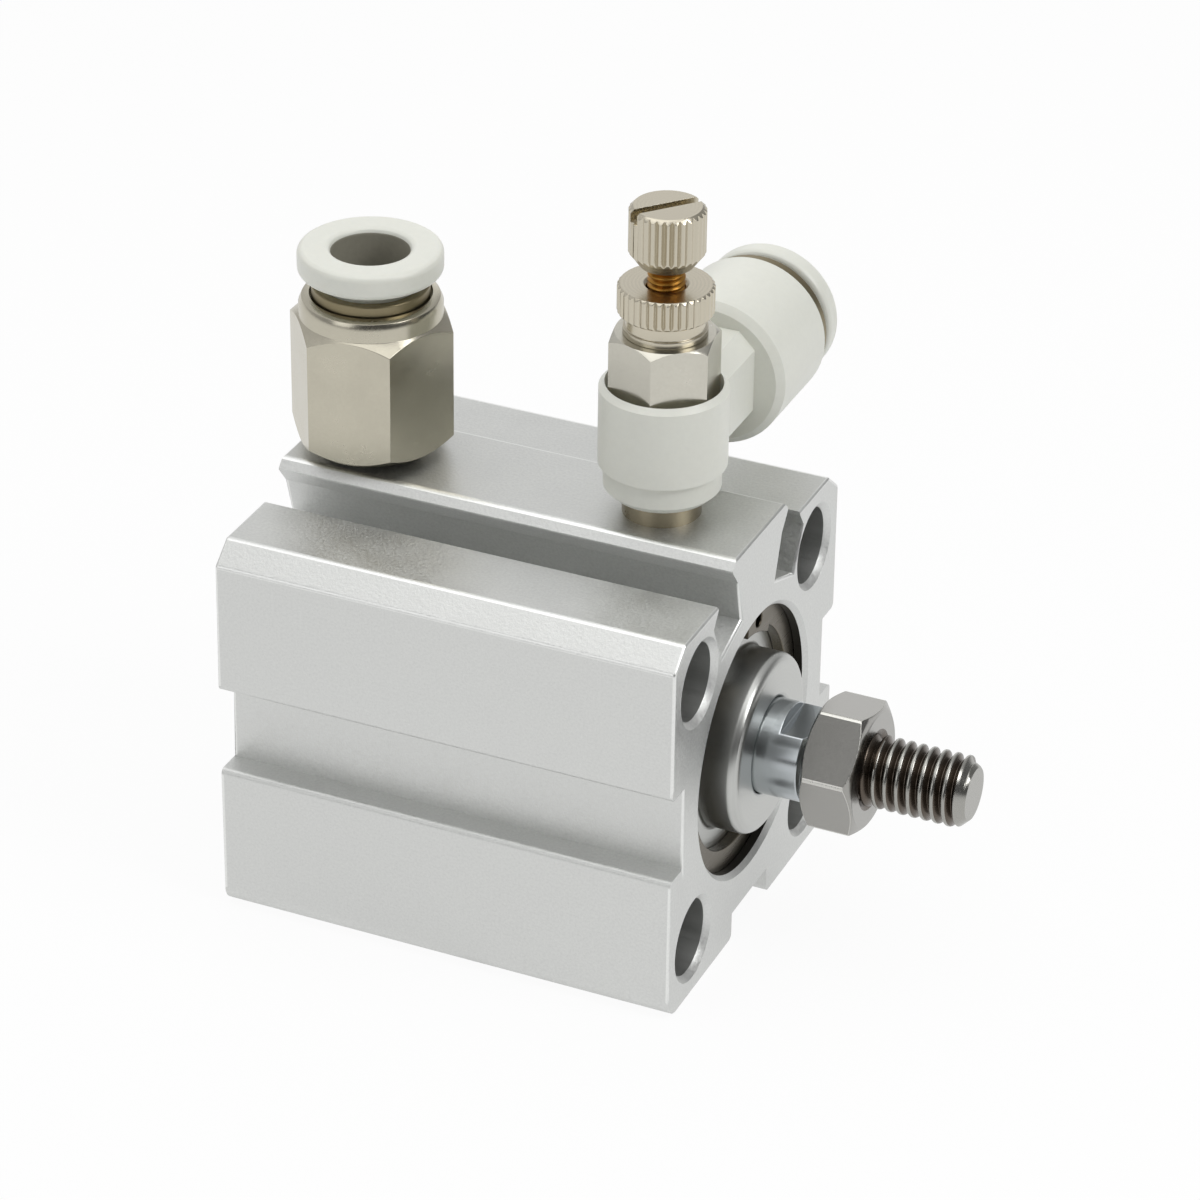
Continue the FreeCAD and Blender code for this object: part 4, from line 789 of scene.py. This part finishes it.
@dataclass
class Connector(Assembly):
    """The straight push-in connector on the rear port.

    Attributes:
        body_edge_mm: broken edge of the hexagon body.
        ring_edge_mm: broken edge of the guide ring and the gasket.
        collar_edge_mm: moulded edge of the release collar.
        socket_reach_mm: distance from the tube's axis that only the socket's wall lies within.
        middle_mm: middle of the collar, on the tube's axis.
    """

    body_edge_mm: float = 0.16
    ring_edge_mm: float = 0.12
    collar_edge_mm: float = 0.28
    socket_reach_mm: float = 3.3
    middle_mm: Vector = field(init=False)

    def __post_init__(self) -> None:
        """Find the middle of the collar."""
        low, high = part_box("connector_release_collar")
        self.middle_mm = (low + high) / 2 / MM

    def in_socket(self, spot: Vector) -> bool:
        """Tell whether a spot lies on the wall that the tube slides along."""
        return (spot - self.middle_mm).xy.length < self.socket_reach_mm

    def build(self) -> None:
        """Dress the hexagon body, guide ring, collar and gasket."""
        hexagon = Skin(NICKEL, self.body_edge_mm)
        ring = Skin(NICKEL_SATIN, self.ring_edge_mm)
        # The socket's wall takes painted shade.
        collar = Skin(POLYESTER, self.collar_edge_mm, zones=(Zone(SOCKET_PAINTED_SHADE, self.in_socket),))
        gasket = Skin(RUBBER, self.ring_edge_mm)
        self.dresser.replace("connector_body", "cylinder", "nickel_brass", hexagon)
        self.dresser.replace("connector_guide_ring", "cylinder", "nickel_brass", ring)
        self.dresser.replace("connector_release_collar", "connector_collar", "white_plastic",
                             collar)
        self.dresser.replace("connector_gasket", "cylinder", "black_rubber", gasket)


@dataclass
class SpeedController(Assembly):
    """The stem, needle, lock ring and knob on the front port.

    Attributes:
        needle_pitch_mm: pitch of the needle's thread.
        needle_chamfer_mm: chamfer at the needle's end.
        needle_sides: steps in one turn of the needle's thread.
        stem_edge_mm: broken edge of the stem, its neck and the gasket.
        knurl_edge_mm: broken edge of the knurls.
        foot_height_mm: height of the stem that shows between barrel and elbow.
        foot_top_mm: upper end of that foot.
    """

    needle_pitch_mm: float = 0.5
    needle_chamfer_mm: float = 0.3
    needle_sides: int = 48
    stem_edge_mm: float = 0.16
    knurl_edge_mm: float = 0.05
    foot_height_mm: float = 2.4
    foot_top_mm: float = field(init=False)

    def __post_init__(self) -> None:
        """Find the height up to which the stem shows below the elbow."""
        self.foot_top_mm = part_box("barrel")[1].z / MM + self.foot_height_mm

    def in_foot(self, spot: Vector) -> bool:
        """Tell whether a spot lies on the stem's foot, below the elbow."""
        return spot.z < self.foot_top_mm

    def build(self) -> None:
        """Dress the stem, neck, lock ring, knob and gasket and cut the needle's thread."""
        # The stem's foot below the elbow takes painted shade.
        stem = Skin(NICKEL_FRESH, self.stem_edge_mm, zones=(Zone(NICKEL_PAINTED_SHADE, self.in_foot),))
        neck = Skin(NICKEL_TURNED, self.stem_edge_mm)
        knurled = Skin(NICKEL_TURNED, self.knurl_edge_mm)
        gasket = Skin(RUBBER, self.stem_edge_mm)
        self.dresser.replace("controller_stem", "cylinder", "nickel_brass", stem)
        self.dresser.replace("needle_guide", "cylinder", "nickel_brass", neck)
        self.dresser.replace("lock_ring", "lock_ring", "nickel_brass", knurled)
        self.dresser.replace("adjusting_knob", "needle", "nickel_brass", knurled)
        self.dresser.replace("controller_gasket", "cylinder", "black_rubber", gasket)
        low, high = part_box("needle_screw")
        middle = (low + high) / 2
        thread = CutThread(
            "needle_screw_thread", Axis.Z, (middle.x / MM, middle.y / MM, 0.0),
            radius_mm=(high.x - low.x) / 2 / MM, pitch_mm=self.needle_pitch_mm,
            start_mm=low.z / MM, end_mm=high.z / MM, chamfer_mm=self.needle_chamfer_mm,
            sides=self.needle_sides)
        needle = thread.build()
        paint(needle, BRASS, BRASS)
        settle(needle, "needle", "needle_screw")


@dataclass
class SwivelElbow(Assembly):
    """The white elbow that swivels on the stem, with its ring and collar.

    Attributes:
        moulded_edge_mm: moulded edge of the elbow.
        ring_edge_mm: broken edge of the guide ring.
        collar_edge_mm: moulded edge of the release collar.
    """

    moulded_edge_mm: float = 0.22
    ring_edge_mm: float = 0.15
    collar_edge_mm: float = 0.28

    def build(self) -> None:
        """Dress the elbow, guide ring and collar."""
        elbow = Skin(POLYESTER, self.moulded_edge_mm)
        ring = Skin(NICKEL_SATIN, self.ring_edge_mm)
        collar = Skin(POLYESTER, self.collar_edge_mm)
        self.dresser.replace("elbow_body", "elbow", "white_plastic", elbow)
        self.dresser.replace("elbow_guide_ring", "elbow", "nickel_brass", ring)
        self.dresser.replace("elbow_release_collar", "elbow_collar", "white_plastic", collar)


@dataclass
class InnerPieces(Assembly):
    """The solids inside the barrel and fittings, which keep their shape."""

    def build(self) -> None:
        """Paint each inner solid with the finish of its real material."""
        groups = {
            RUBBER: ("front_cover_o_ring", "rear_cover_o_ring", "rod_seal", "piston_seal",
                     "front_bumper", "rear_bumper", "connector_tube_seal", "stem_lower_o_ring",
                     "stem_upper_o_ring", "check_seal", "needle_o_ring", "elbow_tube_seal"),
            BRONZE: ("rod_bush",),
            BEARING: ("wear_ring",),
            TURNED: ("piston",),
            ZINC: ("piston_screw",),
            SPRING: ("connector_collet", "elbow_collet"),
        }
        for finish, names in groups.items():
            for name in names:
                paint(self.dresser.nodes[name], finish)
                LOG.info("%s painted as %s", name, finish.name)


@dataclass(frozen=True)
class Lamp:
    """A soft square lamp.

    Attributes:
        name: lamp name.
        spot_mm: where it hangs.
        side_mm: side of its square.
        watts: its power.
    """

    name: str
    spot_mm: Triple
    side_mm: float
    watts: float

    def hang(self, aim_mm: Triple) -> None:
        """Hang the lamp.

        Args:
            aim_mm: spot that it faces.
        """
        data = bpy.data.lights.new(self.name, "AREA")
        data.shape = "SQUARE"
        data.size = self.side_mm * MM
        data.energy = self.watts
        lamp = bpy.data.objects.new(self.name, data)
        lamp.location = Vector(self.spot_mm) * MM
        facing = (Vector(aim_mm) * MM - lamp.location).to_track_quat("-Z", "Y")
        lamp.rotation_euler = facing.to_euler()
        bpy.context.scene.collection.objects.link(lamp)


@dataclass(frozen=True)
class Glow:
    """Light of the room that grows towards one side.

    Attributes:
        side: direction of that side.
        span: cosines from that direction between which the light grows.
        low: strength away from that side.
        high: strength at that side.
    """

    side: Triple
    span: tuple[float, float]
    low: float
    high: float

    def strength(self, tree: bpy.types.NodeTree,
                 direction: bpy.types.NodeSocket) -> bpy.types.NodeSocket:
        """Work out the light's strength in a direction.

        Args:
            tree: the world's node tree.
            direction: socket with the direction.

        Returns:
            Socket with the strength.
        """
        toward = add_node(tree, "ShaderNodeVectorMath", {"operation": "DOT_PRODUCT", 1: self.side},
                          {0: direction}).outputs["Value"]
        grown = {"From Min": self.span[0], "From Max": self.span[1],
                 "To Min": self.low, "To Max": self.high}
        return add_node(tree, "ShaderNodeMapRange", grown, {"Value": toward}).outputs["Result"]


@dataclass
class Studio:
    """A pale floor, soft lamps, a plain world and the camera at the photograph's angle.

    Attributes:
        azimuth_deg: the camera's angle round the object.
        elevation_deg: the camera's angle above the floor.
        roll_deg: the camera's tilt.
        distance_mm: distance from the camera to the spot that it aims at.
        aim_mm: that spot.
        focal_px: focal length in pixels of the photograph.
        clip_m: nearest and farthest distance that the camera sees.
        floor_side_m: side of the floor.
        floor_colour: sRGB hex colour of the floor's paper.
        floor_in_view: share of plain white that the camera sees on the floor, beside the shadow.
        floor_in_metal: share of plain white that metal mirrors from the floor.
        room: room light, pale on the left and dim on the right.
        sweep: a bright sweep low down behind the object.
        lamps: the soft lamps.
    """

    azimuth_deg: float = 23.660
    elevation_deg: float = 30.100
    roll_deg: float = 0.795
    distance_mm: float = 387.329
    aim_mm: Triple = (-15.703, 4.205, 7.132)
    focal_px: float = 4702.353
    clip_m: tuple[float, float] = (0.01, 20.0)
    floor_side_m: float = 6.0
    floor_colour: str = "#F4F4F4"
    floor_in_view: float = 0.93
    floor_in_metal: float = 0.70
    room: Glow = Glow((-0.56, 0.34, 0.75), (-0.2, 0.9), low=0.05, high=0.70)
    sweep: Glow = Glow((-0.35, 0.92, 0.16), (0.93, 0.99), low=0.0, high=0.6)
    lamps: tuple[Lamp, ...] = (
        Lamp("overhead_softbox", (-40.0, -40.0, 420.0), side_mm=420.0, watts=0.60),
        Lamp("front_softbox", (-180.0, -430.0, 200.0), side_mm=260.0, watts=0.24),
        Lamp("right_softbox", (360.0, -20.0, 350.0), side_mm=240.0, watts=0.9),
    )

    def floor(self, height: float) -> None:
        """Lay a pale floor under the object.

        Args:
            height: the floor's height in metres.
        """
        shape = bmesh.new()
        bmesh.ops.create_grid(shape, x_segments=1, y_segments=1, size=self.floor_side_m / 2)
        bmesh.ops.translate(shape, verts=shape.verts, vec=(0.0, 0.0, height))
        floor = as_object("studio_floor", shape)
        made = bpy.data.materials.new("studio_paper")
        tree = empty_tree(made)
        paper = add_node(tree, "ShaderNodeBsdfDiffuse", {"Color": linear(self.floor_colour)})
        white = add_node(tree, "ShaderNodeEmission", {"Color": WHITE, "Strength": 1.0})
        path = add_node(tree, "ShaderNodeLightPath")
        mirrored = add_node(tree, "ShaderNodeMath",
                            {"operation": "MULTIPLY", 1: self.floor_in_metal},
                            {0: path.outputs["Is Glossy Ray"]})
        seen = add_node(tree, "ShaderNodeMath",
                        {"operation": "MULTIPLY_ADD", 1: self.floor_in_view},
                        {0: path.outputs["Is Camera Ray"], 2: mirrored.outputs[0]})
        blended = {0: seen.outputs[0], 1: paper.outputs["BSDF"], 2: white.outputs["Emission"]}
        mixed = add_node(tree, "ShaderNodeMixShader", None, blended)
        add_node(tree, "ShaderNodeOutputMaterial", None, {"Surface": mixed.outputs["Shader"]})
        floor.data.materials.append(made)

    def world(self) -> None:
        """Fill the room with plain light, which the camera sees as white."""
        made = bpy.data.worlds.new("studio_room")
        bpy.context.scene.world = made
        tree = empty_tree(made)
        direction = add_node(tree, "ShaderNodeTexCoord").outputs["Generated"]
        room = self.room.strength(tree, direction)
        sweep = self.sweep.strength(tree, direction)
        lit = add_node(tree, "ShaderNodeMath", {"operation": "ADD"}, {0: room, 1: sweep}).outputs[0]
        seen = add_node(tree, "ShaderNodeLightPath").outputs["Is Camera Ray"]
        strength = add_node(tree, "ShaderNodeMath", {"operation": "MAXIMUM"}, {0: lit, 1: seen})
        light = add_node(tree, "ShaderNodeBackground", {"Color": WHITE},
                         {"Strength": strength.outputs[0]})
        add_node(tree, "ShaderNodeOutputWorld", None, {"Surface": light.outputs["Background"]})

    def camera(self) -> None:
        """Set the camera at the photograph's angle and framing."""
        angles = (self.azimuth_deg, self.elevation_deg, self.roll_deg)
        azimuth, elevation, roll = map(math.radians, angles)
        back = Vector((math.sin(azimuth) * math.cos(elevation),
                       -math.cos(azimuth) * math.cos(elevation), math.sin(elevation)))
        level = Vector((math.cos(azimuth), math.sin(azimuth), 0.0))
        upright = back.cross(level)
        right = math.cos(roll) * level + math.sin(roll) * upright
        up = math.cos(roll) * upright - math.sin(roll) * level
        data = bpy.data.cameras.new("photo_camera")
        data.sensor_width = SENSOR_MM
        data.lens = self.focal_px * SENSOR_MM / PHOTO_SIDE_PX
        data.clip_start, data.clip_end = self.clip_m
        camera = bpy.data.objects.new("photo_camera", data)
        turned = Matrix((right, up, back)).transposed().to_4x4()
        eye = (Vector(self.aim_mm) + back * self.distance_mm) * MM
        camera.matrix_world = Matrix.Translation(eye) @ turned
        bpy.context.scene.collection.objects.link(camera)
        bpy.context.scene.camera = camera

    def build(self, floor_height: float) -> None:
        """Set up floor, room, lamps and camera.

        Args:
            floor_height: the floor's height in metres.
        """
        self.floor(floor_height)
        self.world()
        for lamp in self.lamps:
            lamp.hang(self.aim_mm)
        self.camera()
        bpy.context.scene.view_settings.view_transform = "Standard"


def main() -> None:
    """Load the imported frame, dress every piece and set up the studio."""
    logging.basicConfig(level=logging.INFO, format="%(name)s: %(message)s")
    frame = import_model()
    dresser = Dresser(frame["nodes"])
    for assembly in (Barrel(dresser), RodEnd(dresser), Connector(dresser),
                     SpeedController(dresser), SwivelElbow(dresser), InnerPieces(dresser)):
        assembly.build()
    Studio().build(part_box("barrel")[0].z)


if __name__ == "__main__":
    main()
